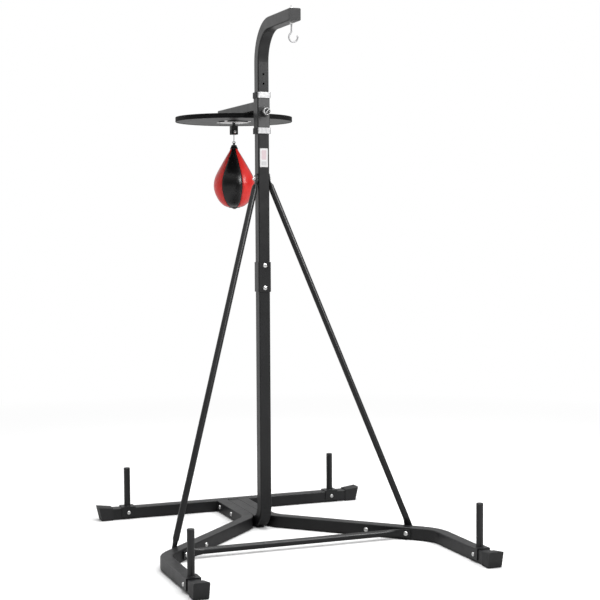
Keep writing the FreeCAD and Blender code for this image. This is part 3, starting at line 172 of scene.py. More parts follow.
# --------------------------------------------------------------- materials
Y_AXIS, Z_AXIS = 1, 2
POWDER_BLACK = (0.0085, 0.0087, 0.0092)


def orange_peel(mat, fine):
    return mat.bump(mat.noise(scale=650.0, detail=2), strength=0.14, distance=0.00035,
                    normal=mat.bump(fine, strength=0.10, distance=0.0001))


def powder():
    """Black powder coat: orange peel, pale specks, rubbed edges."""
    mat = Material("powder_coat_black")
    cloud = mat.ramp(mat.noise(scale=9.0, detail=4), start=0.3, end=0.75)
    fine = mat.noise(scale=1500.0, detail=2)
    specks = mat.ramp(fine, start=0.55, end=0.75, high=0.35)
    chips = mat.ramp(mat.noise(scale=140.0, detail=5, rough=0.65), start=0.52, end=0.66)
    wear = mat.times(mat.times(mat.edge(radius=0.0016), chips), factor=0.45)
    color = mat.mix(cloud, low=POWDER_BLACK, high=tint(POWDER_BLACK, gain=1.5, lift=0.001))
    color = mat.mix(specks, low=color, high=tint(POWDER_BLACK, gain=2.4, lift=0.004))
    return mat.finish(
        Base_Color=mat.mix(wear, low=color, high=(0.12, 0.12, 0.125)),
        Roughness=mat.vary(mat.noise(scale=30.0, detail=4), amount=0.16, base=0.28),
        Normal=orange_peel(mat, fine),
        IOR=1.46)


def metal(name, base, rough, streak, spots, metallic=1.0):
    """Plated steel: streaks stretched by streak, and blotches darker by spots."""
    mat = Material(name)
    streaks = mat.noise(scale=420.0, rough=0.6, stretch=streak)
    cloud = mat.ramp(mat.noise(scale=60.0, detail=4), start=0.35, end=0.7)
    return mat.finish(
        Base_Color=mat.mix(cloud, low=base, high=tint(base, gain=1 - spots)),
        Roughness=mat.vary(streaks, amount=0.22, base=rough - 0.08),
        Normal=mat.bump(streaks, strength=0.10, distance=0.0001),
        Metallic=metallic)


def rubber(name, base=(0.008, 0.008, 0.0085), rough=0.62, grain=900.0, specular=0.5):
    """Grained rubber with dusty patches and paler edges."""
    mat = Material(name)
    cloud = mat.noise(scale=25.0, detail=5)
    dust = mat.ramp(mat.noise(scale=70.0, detail=6, rough=0.7), start=0.55, end=0.8, high=0.5)
    edge = mat.times(mat.edge(radius=0.002), factor=0.2)
    color = mat.mix(cloud, low=base, high=tint(base, gain=1.8, lift=0.002))
    color = mat.mix(mat.times(dust, factor=0.2), low=color, high=(0.07, 0.068, 0.065))
    return mat.finish(
        Specular_IOR_Level=specular,
        Base_Color=mat.mix(edge, low=color, high=(0.06, 0.06, 0.06)),
        Roughness=mat.vary(mat.noise(scale=45.0, detail=4), amount=0.2, base=rough - 0.1),
        Normal=mat.bump(mat.noise(scale=grain, rough=0.6), strength=0.25, distance=0.0003))


def plastic(name, base, rough):
    mat = Material(name)
    cloud = mat.noise(scale=18.0, detail=4)
    edge = mat.times(mat.edge(radius=0.0012), factor=0.2)
    color = mat.mix(cloud, low=base, high=tint(base, gain=1.35, lift=0.004))
    return mat.finish(
        Base_Color=mat.mix(edge, low=color, high=tint(base, gain=1.8, lift=0.02)),
        Roughness=mat.vary(mat.noise(scale=38.0, detail=4), amount=0.14, base=rough - 0.07),
        Normal=mat.bump(mat.noise(scale=1100.0, detail=2), strength=0.16, distance=0.0002))


def laminate():
    """Drum face: satin black laminate with faint scratches."""
    mat = Material("drum_laminate")
    color = mat.mix(mat.noise(scale=6.0, detail=5),
                    low=(0.012, 0.012, 0.0125), high=(0.022, 0.022, 0.023))
    scratches = mat.ramp(mat.noise(scale=90.0, detail=6, rough=0.7, stretch=(1.0, 14.0, 1.0)),
                         start=0.6, end=0.78)
    return mat.finish(
        Base_Color=mat.mix(mat.times(scratches, factor=0.10), low=color, high=(0.12, 0.12, 0.12)),
        Roughness=mat.vary(mat.noise(scale=14.0, detail=5), amount=0.10, base=0.33),
        Normal=mat.bump(mat.noise(scale=700.0), strength=0.10, distance=0.0004),
        IOR=1.22)


def leather(name, base, deep, gloss):
    """Glazed leather: pebble grain, creases, pores of the deep colour, lacquer."""
    mat = Material(name)
    pores = mat.cells(scale=760.0)
    pebbles = mat.cells(scale=300.0)
    crease = mat.noise(scale=38.0, detail=6, rough=0.62, stretch=(1.0, 1.0, 0.35))
    cloud = mat.ramp(mat.noise(scale=14.0, detail=5), start=0.3, end=0.72)
    color = mat.mix(cloud, low=base, high=tint(base, gain=0.86))
    normal = mat.bump(mat.ramp(pores, start=0.0, end=0.16), strength=0.20, distance=0.00022)
    normal = mat.bump(mat.ramp(pebbles, start=0.0, end=0.2), strength=0.12, distance=0.0003,
                      normal=normal)
    normal = mat.bump(crease, strength=0.22, distance=0.0012, normal=normal)
    return mat.finish(
        Base_Color=mat.mix(mat.ramp(pores, start=0.0, end=0.10, low=0.55, high=0.0),
                           low=color, high=deep),
        Roughness=mat.vary(mat.noise(scale=30.0, detail=5), amount=0.18, base=gloss),
        Normal=normal,
        Coat_Normal=normal,
        Coat_Weight=0.22, Coat_Roughness=0.14, IOR=1.40)


def thread():
    """Twisted grey thread."""
    mat = Material("bag_thread")
    base = (0.12, 0.12, 0.12)
    inputs = {"Scale": 900.0, "Distortion": 1.2, "Vector": mat.coords}
    twist = mat.node("TexWave", inputs, wave_type="BANDS",
                     bands_direction="DIAGONAL").outputs["Fac"]
    return mat.finish(
        Base_Color=mat.mix(twist, low=base, high=tint(base, gain=0.55)),
        Roughness=mat.vary(mat.noise(scale=400.0, detail=2), amount=0.2, base=0.55),
        Normal=mat.bump(twist, strength=0.6, distance=0.0002))


def film():
    """Printed film: satin white, a thin border line and two tinted panels, no lettering."""
    border_inset, border_half_width = 0.0028, 0.0005
    panel_half_x = 0.011
    upper_rise, upper_half_z = 0.012, 0.020     # panel centre above the film's centre
    lower_drop, lower_half_z = 0.024, 0.008     # panel centre below the film's centre

    mat = Material("blank_film")
    low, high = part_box("blank_plate")
    centre_x, centre_z = (low.x + high.x) / 2, (low.z + high.z) / 2
    half_x, half_z = (high.x - low.x) / 2, (high.z - low.z) / 2
    x, _, z = mat.node("SeparateXYZ", {0: mat.coords}).outputs

    def within(coordinate, centre, half):
        return mat.calc("LESS_THAN", mat.off_centre(coordinate, centre), half)

    to_side = mat.calc("SUBTRACT", half_x, mat.off_centre(x, centre_x))
    to_end = mat.calc("SUBTRACT", half_z, mat.off_centre(z, centre_z))
    inset = mat.calc("MINIMUM", to_side, to_end)
    border = mat.node("Math", {0: inset, 1: border_inset, 2: border_half_width},
                      operation="COMPARE").outputs[0]
    upper = within(z, centre_z + upper_rise, upper_half_z)
    lower = within(z, centre_z - lower_drop, lower_half_z)
    middle = within(x, centre_x, panel_half_x)
    color = mat.mix(mat.noise(scale=120.0, detail=4),
                    low=(0.74, 0.74, 0.74), high=(0.64, 0.64, 0.645))
    color = mat.mix(mat.times(mat.times(upper, middle), factor=0.8),
                    low=color, high=(0.62, 0.47, 0.50))
    color = mat.mix(mat.times(mat.times(lower, middle), factor=0.6),
                    low=color, high=(0.45, 0.45, 0.46))
    return mat.finish(
        Base_Color=mat.mix(mat.times(border, factor=0.5), low=color, high=(0.45, 0.38, 0.39)),
        Roughness=mat.vary(mat.noise(scale=60.0, detail=4), amount=0.15, base=0.35),
        Normal=mat.bump(mat.noise(scale=900.0, detail=2), strength=0.06, distance=0.0001))


def collar():
    """Black nylon; the -Y face is painted a bright metal colour as a painted reflection of the
    studio.
    """
    mat = Material("collar_painted_reflection")
    front = mat.facing_minus(Y_AXIS, limit=-0.75)
    streaks = mat.noise(scale=260.0, rough=0.6, stretch=(1, 1, 14))
    cloud = mat.ramp(mat.noise(scale=75.0, detail=4), start=0.4, end=0.7)
    # painted reflection: the -Y face gets a bright grey metal colour, the other faces stay black
    # nylon
    front_painted_reflection = mat.mix(cloud, low=(0.60, 0.60, 0.60), high=(0.42, 0.42, 0.43))
    dark = mat.mix(mat.noise(scale=18.0, detail=4),
                   low=(0.006, 0.006, 0.0065), high=(0.012, 0.012, 0.0125))
    return mat.finish(
        Base_Color=mat.mix(front, low=dark, high=front_painted_reflection),
        Metallic=mat.times(front, factor=0.75),
        Specular_IOR_Level=mat.vary(front, amount=0.4, base=0.1),
        Roughness=mat.vary(streaks, amount=0.2, base=0.30),
        Normal=mat.bump(mat.noise(scale=900.0, detail=2), strength=0.1, distance=0.0002))


def swivel_disc():
    """Disc, bright grey metal on its downward faces and near-black on the rim and top."""
    mat = Material("swivel_disc")
    under = mat.facing_minus(Z_AXIS, limit=-0.75)
    cloud = mat.ramp(mat.noise(scale=60.0, detail=4), start=0.35, end=0.7)
    front_painted_reflection = mat.mix(cloud, low=(0.86, 0.86, 0.86), high=(0.66, 0.66, 0.665))
    dark = mat.mix(cloud, low=(0.004, 0.004, 0.0045), high=(0.009, 0.009, 0.0095))
    return mat.finish(
        Base_Color=mat.mix(under, low=dark, high=front_painted_reflection),
        Metallic=mat.times(under, factor=0.5),
        Specular_IOR_Level=mat.vary(under, amount=0.4, base=0.1),
        Roughness=mat.vary(mat.noise(scale=420.0), amount=0.2, base=0.35),
        Normal=mat.bump(mat.noise(scale=700.0, detail=2), strength=0.1, distance=0.0001))


def slide_coat():
    """Black powder coat, its -Y face painted a lighter satin grey as a painted sheen where the
    flat front catches the light.
    """
    mat = Material("slide_coat")
    front = mat.facing_minus(Y_AXIS, limit=-0.9)
    cloud = mat.ramp(mat.noise(scale=9.0, detail=4), start=0.3, end=0.75)
    dark = mat.mix(cloud, low=POWDER_BLACK, high=(0.014, 0.014, 0.0145))
    # painted sheen: the flat -Y face is coloured lighter grey where it catches the light
    front_painted_sheen = mat.mix(mat.noise(scale=160.0, detail=5, rough=0.65),
                    low=(0.060, 0.060, 0.061), high=(0.100, 0.100, 0.101))
    return mat.finish(
        Base_Color=mat.mix(front, low=dark, high=front_painted_sheen),
        Roughness=mat.vary(mat.noise(scale=30.0, detail=4), amount=0.16, base=0.30),
        Normal=orange_peel(mat, mat.noise(scale=1500.0, detail=2)),
        IOR=1.46)


MATERIALS = {
    "frame_black": powder(),
    "zinc": metal("zinc_plate", base=(0.88, 0.88, 0.87), rough=0.30, streak=(1, 1, 1), spots=0.2),
    "bright_steel": metal("bright_plate", base=(0.80, 0.80, 0.80), rough=0.22,
                          streak=(1, 1, 8), spots=0.12),
    "black_rubber": rubber("foot_rubber"),
    "black_plastic": plastic("nylon_black", base=(0.006, 0.006, 0.0065), rough=0.5),
    "white_nylon": plastic("nylon_natural", base=(0.72, 0.71, 0.67), rough=0.45),
    "drum_black": laminate(),
    "edge_black": rubber("drum_edge", base=(0.003, 0.003, 0.0032), rough=0.6, grain=1400.0,
                         specular=0.10),
    "label_white": film(),
    "leather": leather("leather_red", base=(0.90, 0.030, 0.024), deep=(0.30, 0.006, 0.006),
                       gloss=0.24),
    "leather_black": leather("leather_black", base=(0.0040, 0.0040, 0.0044),
                             deep=(0.0012, 0.0012, 0.0012), gloss=0.17),
    "bladder_rubber": rubber("latex", base=(0.10, 0.085, 0.075), rough=0.5),
    "collar": collar(),
    "hook_steel": metal("hook_steel", base=(0.50, 0.50, 0.51), rough=0.42, streak=(1, 1, 1),
                        spots=0.15, metallic=0.2),
    "slide_coat": slide_coat(),
    "pin_black": plastic("blackened_steel", base=(0.004, 0.004, 0.0045), rough=0.5),
    "plate_dark": swivel_disc(),
    "thread": thread(),
}
# Pieces whose look differs from that of their material slot
SPECIAL_LOOKS = {
    "upper_collar": "collar", "lower_collar": "collar",
    "heavy_bag_hook": "hook_steel", "bag_link": "hook_steel",
    "swivel_plate": "plate_dark", "carriage": "slide_coat", "swivel_spindle": "pin_black",
}
slot_of = {part["node"]: part["material_slot"] for part in frame["record"]["subparts"]}
for name, piece in NODES.items():
    look = SPECIAL_LOOKS.get(name) or slot_of.get(name, "frame_black")
    piece.data.materials.clear()
    piece.data.materials.append(MATERIALS[look])

# --------------------------------------------------------- geometry helpers


def make_object(mesh, name, materials):
    """Turn a bmesh into a smooth-shaded object in the scene."""
    bmesh.ops.recalc_face_normals(mesh, faces=mesh.faces)
    data = bpy.data.meshes.new(name)
    mesh.to_mesh(data)
    mesh.free()
    for material in materials:
        data.materials.append(material)
    for polygon in data.polygons:
        polygon.use_smooth = True
    made = bpy.data.objects.new(name, data)
    scene.collection.objects.link(made)
    return made


def attach(piece, body):
    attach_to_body(piece, body)


def thicken(piece, thickness):
    """Solidify inward."""
    modifier = piece.modifiers.new("thick", "SOLIDIFY")
    modifier.thickness = thickness
    modifier.offset = -1


def round_edges(piece, width, segments, degrees=None):
    modifier = piece.modifiers.new("round", "BEVEL")
    modifier.width = width
    modifier.segments = segments
    if degrees is not None:
        modifier.limit_method = "ANGLE"
        modifier.angle_limit = math.radians(degrees)


def loft(mesh, rings):
    """Join each closed ring of vertices to the next with quads."""
    for ring, following in zip(rings, rings[1:]):
        count = len(ring)
        for k in range(count):
            after = (k + 1) % count
            mesh.faces.new((ring[k], ring[after], following[after], following[k]))


def tangent(points, i, closed=False):
    if closed:
        before, after = points[i - 1], points[(i + 1) % len(points)]
    else:
        before, after = points[max(i - 1, 0)], points[min(i + 1, len(points) - 1)]
    return (after - before).normalized()


def tube(mesh, points, radii, segments, closed=False):
    """Round tube along the points, capped when open; radii is one number or a list."""
    if not isinstance(radii, list):
        radii = [radii] * len(points)
    rings = []
    across = None
    for i, (point, radius) in enumerate(zip(points, radii)):
        along = tangent(points, i, closed)
        if across is None:
            reference = Vector((0, 0, 1)) if abs(along.z) < 0.9 else Vector((1, 0, 0))
            across = along.cross(reference).normalized()
        else:
            across = (across - along * across.dot(along)).normalized()
        other = along.cross(across)
        ring = []
        for k in range(segments):
            angle = 2 * math.pi * k / segments
            ring.append(mesh.verts.new(
                point + (across * math.cos(angle) + other * math.sin(angle)) * radius))
        rings.append(ring)
    loft(mesh, rings)
    if closed:
        # Turn the first ring so the closing quads don't twist
        first, last = rings[0], rings[-1]
        turn = min(range(segments), key=lambda k: (last[0].co - first[k].co).length)
        loft(mesh, [last, first[turn:] + first[:turn]])
    else:
        mesh.faces.new(rings[0])
        mesh.faces.new(rings[-1])


# ---------------------------------------------------------- the speed bag
# (radius, z) down the bag from neck to bottom, in millimetres
BAG_OUTLINE_MM = [
    (10.6, 1688.0), (23.2, 1660.5), (39.5, 1633.0), (55.5, 1605.5), (71.0, 1578.5),
    (85.0, 1551.0), (92.6, 1524.0), (93.2, 1497.0), (86.0, 1469.5), (69.0, 1438.0),
    (45.0, 1416.0), (18.0, 1408.0), (9.0, 1407.0)]
OUTLINE_STEPS = 9             # points per outline span
GORES = 6
GORE_STEPS = 40               # segments across a gore
SWELL = 0.020                 # rise of a gore's middle, as a share of the radius
SEAM_DRAW = 0.010             # pull toward the axis, as a share of the radius
GROOVE_DEPTH, GROOVE_WIDTH = 0.0016, 0.0028
BAG_THICKNESS = 0.0022

WELT_RADIUS, WELT_LIFT = 0.0011, 0.0004
STITCH_OFFSET = 0.0052        # from the seam to a row of stitches
STITCH_LENGTH, STITCH_PITCH = 0.0034, 0.0050
STITCH_START = 0.001
STITCH_RADIUS = 0.00042
STITCH_LIFT, STITCH_ARCH = 0.00025, 0.00035

# The first, black gore looks toward the camera, turned a little to its left
to_camera = math.atan2(CAMERA_PLACE[1] - BAG_Y, CAMERA_PLACE[0])
FIRST_GORE = to_camera - math.radians(6.4)


def spline(a, b, c, d, t):
    """Catmull-Rom value between b and c."""
    return 0.5 * (2 * b + (c - a) * t + (2 * a - 5 * b + 4 * c - d) * t * t
                  + (3 * b - a - 3 * c + d) * t ** 3)


def smooth_outline(points, steps):
    smooth = []
    last = len(points) - 1
    for i in range(last):
        four = (points[max(i - 1, 0)], points[i], points[i + 1], points[min(i + 2, last)])
        radii, heights = zip(*four)
        for j in range(steps):
            smooth.append((spline(*radii, j / steps), spline(*heights, j / steps)))
    smooth.append(points[-1])
    return smooth


bag_outline = [(radius / 1000, z / 1000)
               for radius, z in smooth_outline(BAG_OUTLINE_MM, OUTLINE_STEPS)]


def gore_angle(gores):
    """Angle this many gores round from the middle of the first."""
    return FIRST_GORE + gores * 2 * math.pi / GORES


def bag_radius(radius, angle):
    """Gores swell between the seams and are drawn in along them."""
    across = ((angle - FIRST_GORE) / (2 * math.pi / GORES) + 0.5) % 1.0
    off_middle = abs(across - 0.5) * 2      # 0 at the middle of a gore, 1 on the seam
    swell = SWELL * radius * (1 - off_middle ** 2.2)
    from_seam = (1 - off_middle) * radius * math.pi / GORES
    groove = GROOVE_DEPTH * math.exp(-(from_seam / GROOVE_WIDTH) ** 2)
    return radius - SEAM_DRAW * radius + swell - groove


def around_bag(radius, angle, z):
    return Vector((radius * math.cos(angle), BAG_Y + radius * math.sin(angle), z))


def build_gores():
    """The bag's skin, alternately black and red."""
    mesh = bmesh.new()
    count = GORES * GORE_STEPS
    rings = []
    for radius, z in bag_outline:
        ring = []
        for k in range(count):
            angle = gore_angle(k / GORE_STEPS - 0.5)
            ring.append(mesh.verts.new(around_bag(bag_radius(radius, angle), angle, z)))
        rings.append(ring)
    for ring, below in zip(rings, rings[1:]):
        for k in range(count):
            after = (k + 1) % count
            face = mesh.faces.new((ring[k], below[k], below[after], ring[after]))
            face.material_index = 1 if (k // GORE_STEPS) % 2 == 0 else 0
    bag = make_object(mesh, "bag_gores", [MATERIALS["leather"], MATERIALS["leather_black"]])
    thicken(bag, BAG_THICKNESS)
    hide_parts("bag_cover")
    attach(bag, "bag_unit")


def finish_trim(mesh, name, look="leather_black"):
    trim = make_object(mesh, name, [MATERIALS[look]])
    attach(trim, "bag_unit")
    return trim


def build_welts():
    """A raised welt in each seam."""
    mesh = bmesh.new()
    for gore in range(GORES):
        angle = gore_angle(gore + 0.5)
        points = [around_bag(bag_radius(radius, angle) + WELT_LIFT, angle, z)
                  for radius, z in bag_outline[3:-2]]
        tube(mesh, points, WELT_RADIUS, segments=7)
    finish_trim(mesh, "bag_welts")


def add_stitch_row(mesh, points):
    """Stitches at an even pitch along a line of points."""
    lengths = [0.0]
    for start, end in zip(points, points[1:]):
        lengths.append(lengths[-1] + (end - start).length)

    def point_at(length):
        for i in range(len(lengths) - 1):
            if lengths[i + 1] >= length:
                span = max(1e-9, lengths[i + 1] - lengths[i])
                return points[i].lerp(points[i + 1], (length - lengths[i]) / span)
        return points[-1]

    place = STITCH_START
    while place + STITCH_LENGTH < lengths[-1]:
        middle = point_at(place + STITCH_LENGTH / 2)
        arch = Vector((middle.x, middle.y - BAG_Y, 0)).normalized() * STITCH_ARCH
        tube(mesh, [point_at(place), middle + arch, point_at(place + STITCH_LENGTH)],
             STITCH_RADIUS, segments=5)
        place += STITCH_PITCH


def build_stitches():
    """A row of stitches on each side of every seam."""
    mesh = bmesh.new()
    for gore in range(GORES):
        for side in (-1, 1):
            points = []
            for radius, z in bag_outline[10:-12]:
                angle = gore_angle(gore + 0.5) + side * STITCH_OFFSET / max(radius, 0.02)
                points.append(around_bag(bag_radius(radius, angle) + STITCH_LIFT, angle, z))
            add_stitch_row(mesh, points)
    finish_trim(mesh, "bag_stitches", look="thread")


# Neck: (radius, z) up the cap
NECK_OUTLINE = [
    (0.0178, 1.6745), (0.0181, 1.6760), (0.0169, 1.6785), (0.0142, 1.6835),
    (0.0120, 1.6885), (0.0110, 1.6905), (0.0088, 1.6925), (0.0045, 1.6932)]
NECK_SEGMENTS = 96
PLEATS, PLEAT_DEPTH, PLEATED_ABOVE_RADIUS = 12, 0.0003, 0.012
SCALLOP_DEPTH, SCALLOPED_BELOW_Z = 0.0012, 1.6765
CAP_THICKNESS = 0.0012
# Strap loop: half circle of unequal radii, with straight legs down to LEG_Z
LOOP_RADIUS_Y, LOOP_RADIUS_Z, LOOP_Z = 0.0046, 0.0042, 1.6978
LOOP_STEPS = 24
LEG_Y, LEG_Z = 0.0048, 1.6915
STRAP_HALF_WIDTH, STRAP_HALF_THICKNESS = 0.0029, 0.0011
# Cord wound up the neck
CORD_Z, CORD_START_RADIUS = 1.6862, 0.0131
CORD_TURNS, CORD_STEPS, CORD_PITCH = 3, 48, 0.0014
CORD_TAPER = 0.42             # radius lost per unit of height
CORD_RADIUS = 0.0008


def build_neck_cap():
    """Pleated cap over the gore tips, scalloped along its lower edge."""
    mesh = bmesh.new()
    rings = []
    for radius, z in NECK_OUTLINE:
        ring = []
        for k in range(NECK_SEGMENTS):
            angle = 2 * math.pi * k / NECK_SEGMENTS
            pleat = scallop = 0.0
            if radius > PLEATED_ABOVE_RADIUS:
                pleat = PLEAT_DEPTH * math.cos(angle * PLEATS)
            if z < SCALLOPED_BELOW_Z:
                scallop = -SCALLOP_DEPTH * math.cos((angle - FIRST_GORE) * GORES)
            ring.append(mesh.verts.new(around_bag(radius + pleat, angle, z + scallop)))
        rings.append(ring)
    loft(mesh, rings)
    mesh.faces.new(rings[-1])
    cap = make_object(mesh, "bag_neck_cap", [MATERIALS["leather_black"]])
    thicken(cap, CAP_THICKNESS)
    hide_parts("bag_neck_loop")
    attach(cap, "bag_unit")


def build_hang_loop():
    """Folded strap standing on the neck."""
    path = [Vector((0, BAG_Y + LEG_Y, LEG_Z))]
    for k in range(LOOP_STEPS + 1):
        angle = math.pi * k / LOOP_STEPS
        path.append(Vector((0, BAG_Y + LOOP_RADIUS_Y * math.cos(angle),
                            LOOP_Z + LOOP_RADIUS_Z * math.sin(angle))))
    path.append(Vector((0, BAG_Y - LEG_Y, LEG_Z)))
    mesh = bmesh.new()
    rings = []
    for i, point in enumerate(path):
        normal = tangent(path, i).cross(Vector((1, 0, 0))).normalized()
        rings.append([
            mesh.verts.new(point + Vector((side * STRAP_HALF_WIDTH, 0, 0))
                           + normal * face * STRAP_HALF_THICKNESS)
            for side, face in ((-1, -1), (1, -1), (1, 1), (-1, 1))])
    loft(mesh, rings)
    mesh.faces.new(rings[0])
    mesh.faces.new(rings[-1])
    round_edges(finish_trim(mesh, "bag_hang_loop"), width=0.0005, segments=2)


def build_neck_cord():
    mesh = bmesh.new()
    points = []
    for k in range(CORD_TURNS * CORD_STEPS + 1):
        z = CORD_Z + CORD_PITCH * k / CORD_STEPS
        radius = CORD_START_RADIUS - (z - CORD_Z) * CORD_TAPER
        points.append(around_bag(radius, 2 * math.pi * k / CORD_STEPS, z))
    tube(mesh, points, CORD_RADIUS, segments=6)
    finish_trim(mesh, "bag_neck_cord", look="thread")


# Bottom patch: (radius, z) from the central hole out to the rim
PATCH_OUTLINE = [
    (0.0078, 1.4070), (0.0078, 1.4060), (0.0095, 1.4054), (0.0230, 1.4068),
    (0.0262, 1.4078), (0.0268, 1.4092), (0.0250, 1.4104)]
PATCH_SEGMENTS = 72
LACE_CROSSINGS, LACE_START, LACE_PITCH = 4, -0.0165, 0.011
LACE_RADIUS = 0.0009
LACE_WIDE, LACE_NARROW = 0.0098, 0.0062       # half-lengths in x; wide beside the hole
LACE_WIDE_WITHIN = 0.008
LACE_TUCK, LACE_TURN = 0.0016, 0.0008         # rise of the ends, and their step inward
# (half the slant in y, z, dip of the middle) of the two cords of a crossing
LACE_CORDS = ((0.003, 1.4062, 0.0008), (-0.003, 1.4060, 0.0012))


def build_bottom_patch():
    mesh = bmesh.new()
    loft(mesh, [[mesh.verts.new(around_bag(radius, 2 * math.pi * k / PATCH_SEGMENTS, z))
                 for k in range(PATCH_SEGMENTS)]
                for radius, z in PATCH_OUTLINE])
    finish_trim(mesh, "bag_bottom_patch")


def build_lace():
    """Crossed cords under the patch."""
    mesh = bmesh.new()
    tuck = Vector((0, 0, LACE_TUCK))
    for k in range(LACE_CROSSINGS):
        y = BAG_Y + LACE_START + LACE_PITCH * k
        reach = LACE_WIDE if abs(y - BAG_Y) < LACE_WIDE_WITHIN else LACE_NARROW
        for slant, z, dip in LACE_CORDS:
            start, end = Vector((-reach, y - slant, z)), Vector((reach, y + slant, z))
            tube(mesh, [start + tuck, start + Vector((LACE_TURN, 0, -dip)),
                        end + Vector((-LACE_TURN, 0, -dip)), end + tuck],
                 LACE_RADIUS, segments=6)
    finish_trim(mesh, "bag_lace", look="thread")


build_gores()
build_welts()
build_stitches()
build_neck_cap()
build_hang_loop()
build_neck_cord()
build_bottom_patch()
build_lace()

# ------------------------------------------------------------------- welds
WELD_STEP = 0.0022
TONGUE_HALF_WIDTH, TONGUE_WELD_Y, TONGUE_WELD_Z = 0.0235, MAST_Y + 0.4325, 0.0532
PEG_WELD_RADIUS, PEG_WELD_Z, PEG_WELD_STEPS = 0.0145, 0.0575, 40
ARM_BOTTOM_Z = 1.8193
ARM_WELD_Y = MAST_Y + 0.0286
# (x, height above ARM_BOTTOM_Z) up the -X half of the arm's end
ARM_WELD_HALF = [(-0.0203, 0.002), (-0.0203, 0.038), (-0.018, 0.0403)]
PLATE_WELD_X, PLATE_WELD_RISE = 0.0205, 0.0008
PLATE_WELD_Y = (MAST_Y + 0.306, MAST_Y + 0.445)


def weld(name, points, body, radius=0.0022, closed=False):
    """Weld bead with ripples, laid along a path."""
    path = []
    count = len(points)
    for i in range(count if closed else count - 1):
        start, end = Vector(points[i]), Vector(points[(i + 1) % count])
        steps = max(1, int((end - start).length / WELD_STEP))
        for j in range(steps):
            path.append(start.lerp(end, j / steps))
    if not closed:
        path.append(Vector(points[-1]))
    # Regular ripples plus a little random variation
    radii = [radius * (0.86 + 0.24 * abs(math.sin(i * 1.1)) + 0.06 * random.random())
             for i in range(len(path))]
    mesh = bmesh.new()
    tube(mesh, path, radii, segments=7, closed=closed)
    attach(make_object(mesh, name, [MATERIALS["frame_black"]]), body)


weld("weld_beam_tongue",
     [(x, TONGUE_WELD_Y, TONGUE_WELD_Z) for x in (-TONGUE_HALF_WIDTH, TONGUE_HALF_WIDTH)],
     "stand")
for peg in ("peg_rear_left", "peg_rear_right", "peg_front_left", "peg_front_right"):
    low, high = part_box("weight_" + peg)
    centre_x, centre_y = (low.x + high.x) / 2, (low.y + high.y) / 2
    circle = []
    for k in range(PEG_WELD_STEPS):
        angle = 2 * math.pi * k / PEG_WELD_STEPS
        circle.append((centre_x + PEG_WELD_RADIUS * math.cos(angle),
                       centre_y + PEG_WELD_RADIUS * math.sin(angle), PEG_WELD_Z))
    weld("weld_" + peg, circle, "stand", radius=0.0019, closed=True)
# Up one side of the carriage arm, over its top and down the other, at the slide
arm_outline = ARM_WELD_HALF + [(-x, rise) for x, rise in reversed(ARM_WELD_HALF)]
weld("weld_arm_slide", [(x, ARM_WELD_Y, ARM_BOTTOM_Z + rise) for x, rise in arm_outline],
     "carriage_unit")
# Along both lower edges of the arm, at the plate
for side, suffix in ((-1, "l"), (1, "r")):
    weld("weld_plate_arm_" + suffix,
         [(side * PLATE_WELD_X, y, ARM_BOTTOM_Z + PLATE_WELD_RISE) for y in PLATE_WELD_Y],
         "carriage_unit", radius=0.0018)

# ----------------------------------------------------------- rounded edges
for name in ("foot_cap_rear_right", "foot_cap_rear_left",
             "foot_cap_front_right", "foot_cap_front_left"):
    round_edges(NODES[name], width=0.0016, segments=3, degrees=40)
for name in ("carriage", "drum_rim", "plunger_housing", "swivel_fork", "swivel_plate",
             "upper_collar", "lower_collar", "mast_sleeve", "peg_plugs", "arm_end_plug",
             "carriage_arm_plug"):
    round_edges(NODES[name], width=0.0005, segments=2, degrees=50)

# ------------------------------------------------------------------- floor


def floor_material():
    """Pale floor, darker to indirect rays near the stand, glowing white far out."""
    mat = Material("floor_pale")
    to_camera_ray = mat.node("LightPath").outputs["Is Camera Ray"]
    distance = mat.node("VectorMath", {0: mat.coords}, operation="LENGTH").outputs["Value"]

    def by_distance(**stops):
        """Ramp whose positions are in tens of metres from the origin."""
        return mat.ramp(mat.calc("DIVIDE", distance, 10.0), **stops)

    pale = mat.mix(mat.noise(scale=1.5), low=(0.93, 0.93, 0.93), high=(0.91, 0.91, 0.91))
    indirect = by_distance(start=0.05, end=0.15, low=0.34, high=0.64)
    mat.finish(
        Base_Color=mat.mix(to_camera_ray, low=indirect, high=pale),
        Roughness=mat.vary(mat.noise(scale=4.0), amount=0.1, base=0.8),
        IOR=1.1)
    glow = mat.node("Emission", {0: (1, 1, 1),
                                 1: mat.vary(to_camera_ray, amount=0.30, base=0.70)})
    faded = mat.node("MixShader", {0: by_distance(start=0.14, end=0.5),
                                   1: mat.shader.outputs[0], 2: glow.outputs[0]})
    mat.feed(mat.output.inputs[0], faded.outputs[0])
    return mat.data


mesh = bmesh.new()
bmesh.ops.create_grid(mesh, x_segments=2, y_segments=2, size=300)
floor = make_object(mesh, "floor", [floor_material()])
floor.location.z = -0.0002      # just clear of the feet

# ------------------------------------------------------------------- world


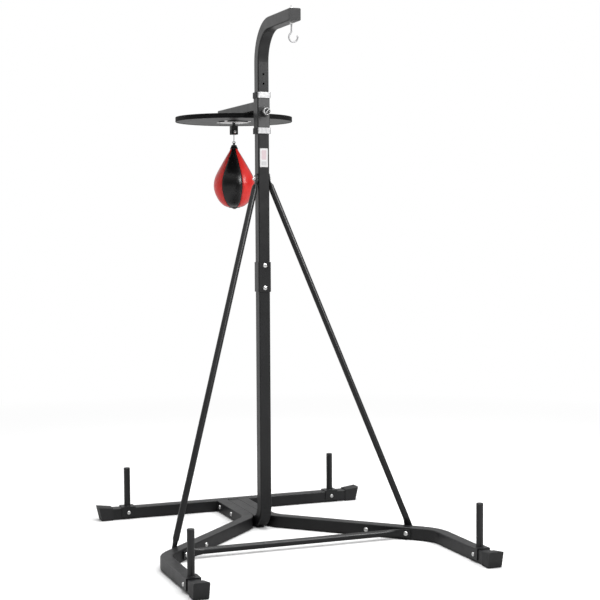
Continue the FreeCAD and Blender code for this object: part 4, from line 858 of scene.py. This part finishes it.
def build_world():
    """White to the camera; other rays see a graded studio."""
    world = bpy.data.worlds.new("studio")
    scene.world = world
    nodes = Nodes(world)
    output = nodes.node("OutputWorld")
    generated = nodes.node("TexCoord").outputs["Generated"]
    x, y, z = nodes.node("SeparateXYZ", {0: generated}).outputs

    def graded(direction, lowest, stops):
        """Grey ramp over a direction component from lowest to 1."""
        inputs = {"From Min": lowest, "From Max": 1, "Value": direction}
        return nodes.grey_ramp(nodes.node("MapRange", inputs).outputs[0], stops)

    # (position, grey), dark to light toward +Y, light to dark toward +X, and light overhead
    depth = graded(y, -1, [(0.0, 0.16), (0.45, 0.22), (0.72, 0.62), (1.0, 0.95)])
    sides = graded(x, -1, [(0.0, 1.0), (0.42, 1.0), (0.60, 0.55), (1.0, 0.5)])
    overhead = graded(z, 0, [(0.0, 0.0), (0.35, 0.10), (0.7, 0.75), (1.0, 1.0)])
    around = nodes.mix(1.0, low=depth, high=sides, blend_type="MULTIPLY")
    studio = nodes.mix(1.0, low=around, high=overhead, blend_type="LIGHTEN")
    lighting = nodes.node("Background", {0: studio})
    backdrop = nodes.node("Background", {0: (1, 1, 1)})
    camera_ray = nodes.node("LightPath").outputs["Is Camera Ray"]
    shown = nodes.node("MixShader", {0: camera_ray, 1: lighting.outputs[0],
                                     2: backdrop.outputs[0]})
    nodes.feed(output.inputs[0], shown.outputs[0])


build_world()

# -------------------------------------------------------- lights and camera


def area(name, place, target, size, power):
    light = bpy.data.lights.new(name, "AREA")
    light.shape = "RECTANGLE"
    light.size, light.size_y = size
    light.energy = power
    lamp = bpy.data.objects.new(name, light)
    scene.collection.objects.link(lamp)
    lamp.location = place
    aim = Vector(target) - Vector(place)
    lamp.rotation_euler = aim.to_track_quat("-Z", "Y").to_euler()


area("key", place=(2.2, MAST_Y - 3.2, 3.4), target=(0, MAST_Y + 0.2, 1.2),
     size=(1.2, 1.6), power=125)
area("top", place=(0.0, MAST_Y - 0.2, 4.8), target=(0, MAST_Y - 0.2, 0),
     size=(3.2, 3.2), power=165)


def build_camera(pitch, yaw, roll, lens):
    """Angles in radians: pitch down, yaw from +Y toward +X; lens in millimetres."""
    forward = Vector((math.sin(yaw) * math.cos(pitch), math.cos(yaw) * math.cos(pitch),
                      -math.sin(pitch)))
    level = Vector((math.cos(yaw), -math.sin(yaw), 0))
    upright = level.cross(forward)
    right = math.cos(roll) * level - math.sin(roll) * upright
    up = math.sin(roll) * level + math.cos(roll) * upright
    data = bpy.data.cameras.new("camera")
    data.sensor_width = 36.0
    data.lens = lens
    data.clip_end = 100
    camera = bpy.data.objects.new("camera", data)
    scene.collection.objects.link(camera)
    rotation = Matrix((right, up, -forward)).transposed().to_4x4()
    camera.matrix_world = Matrix.Translation(CAMERA_PLACE) @ rotation
    scene.camera = camera


build_camera(pitch=0.05573, yaw=0.37196, roll=0.005264, lens=82.5732)
scene.view_settings.view_transform = "Standard"

bpy.context.view_layer.update()
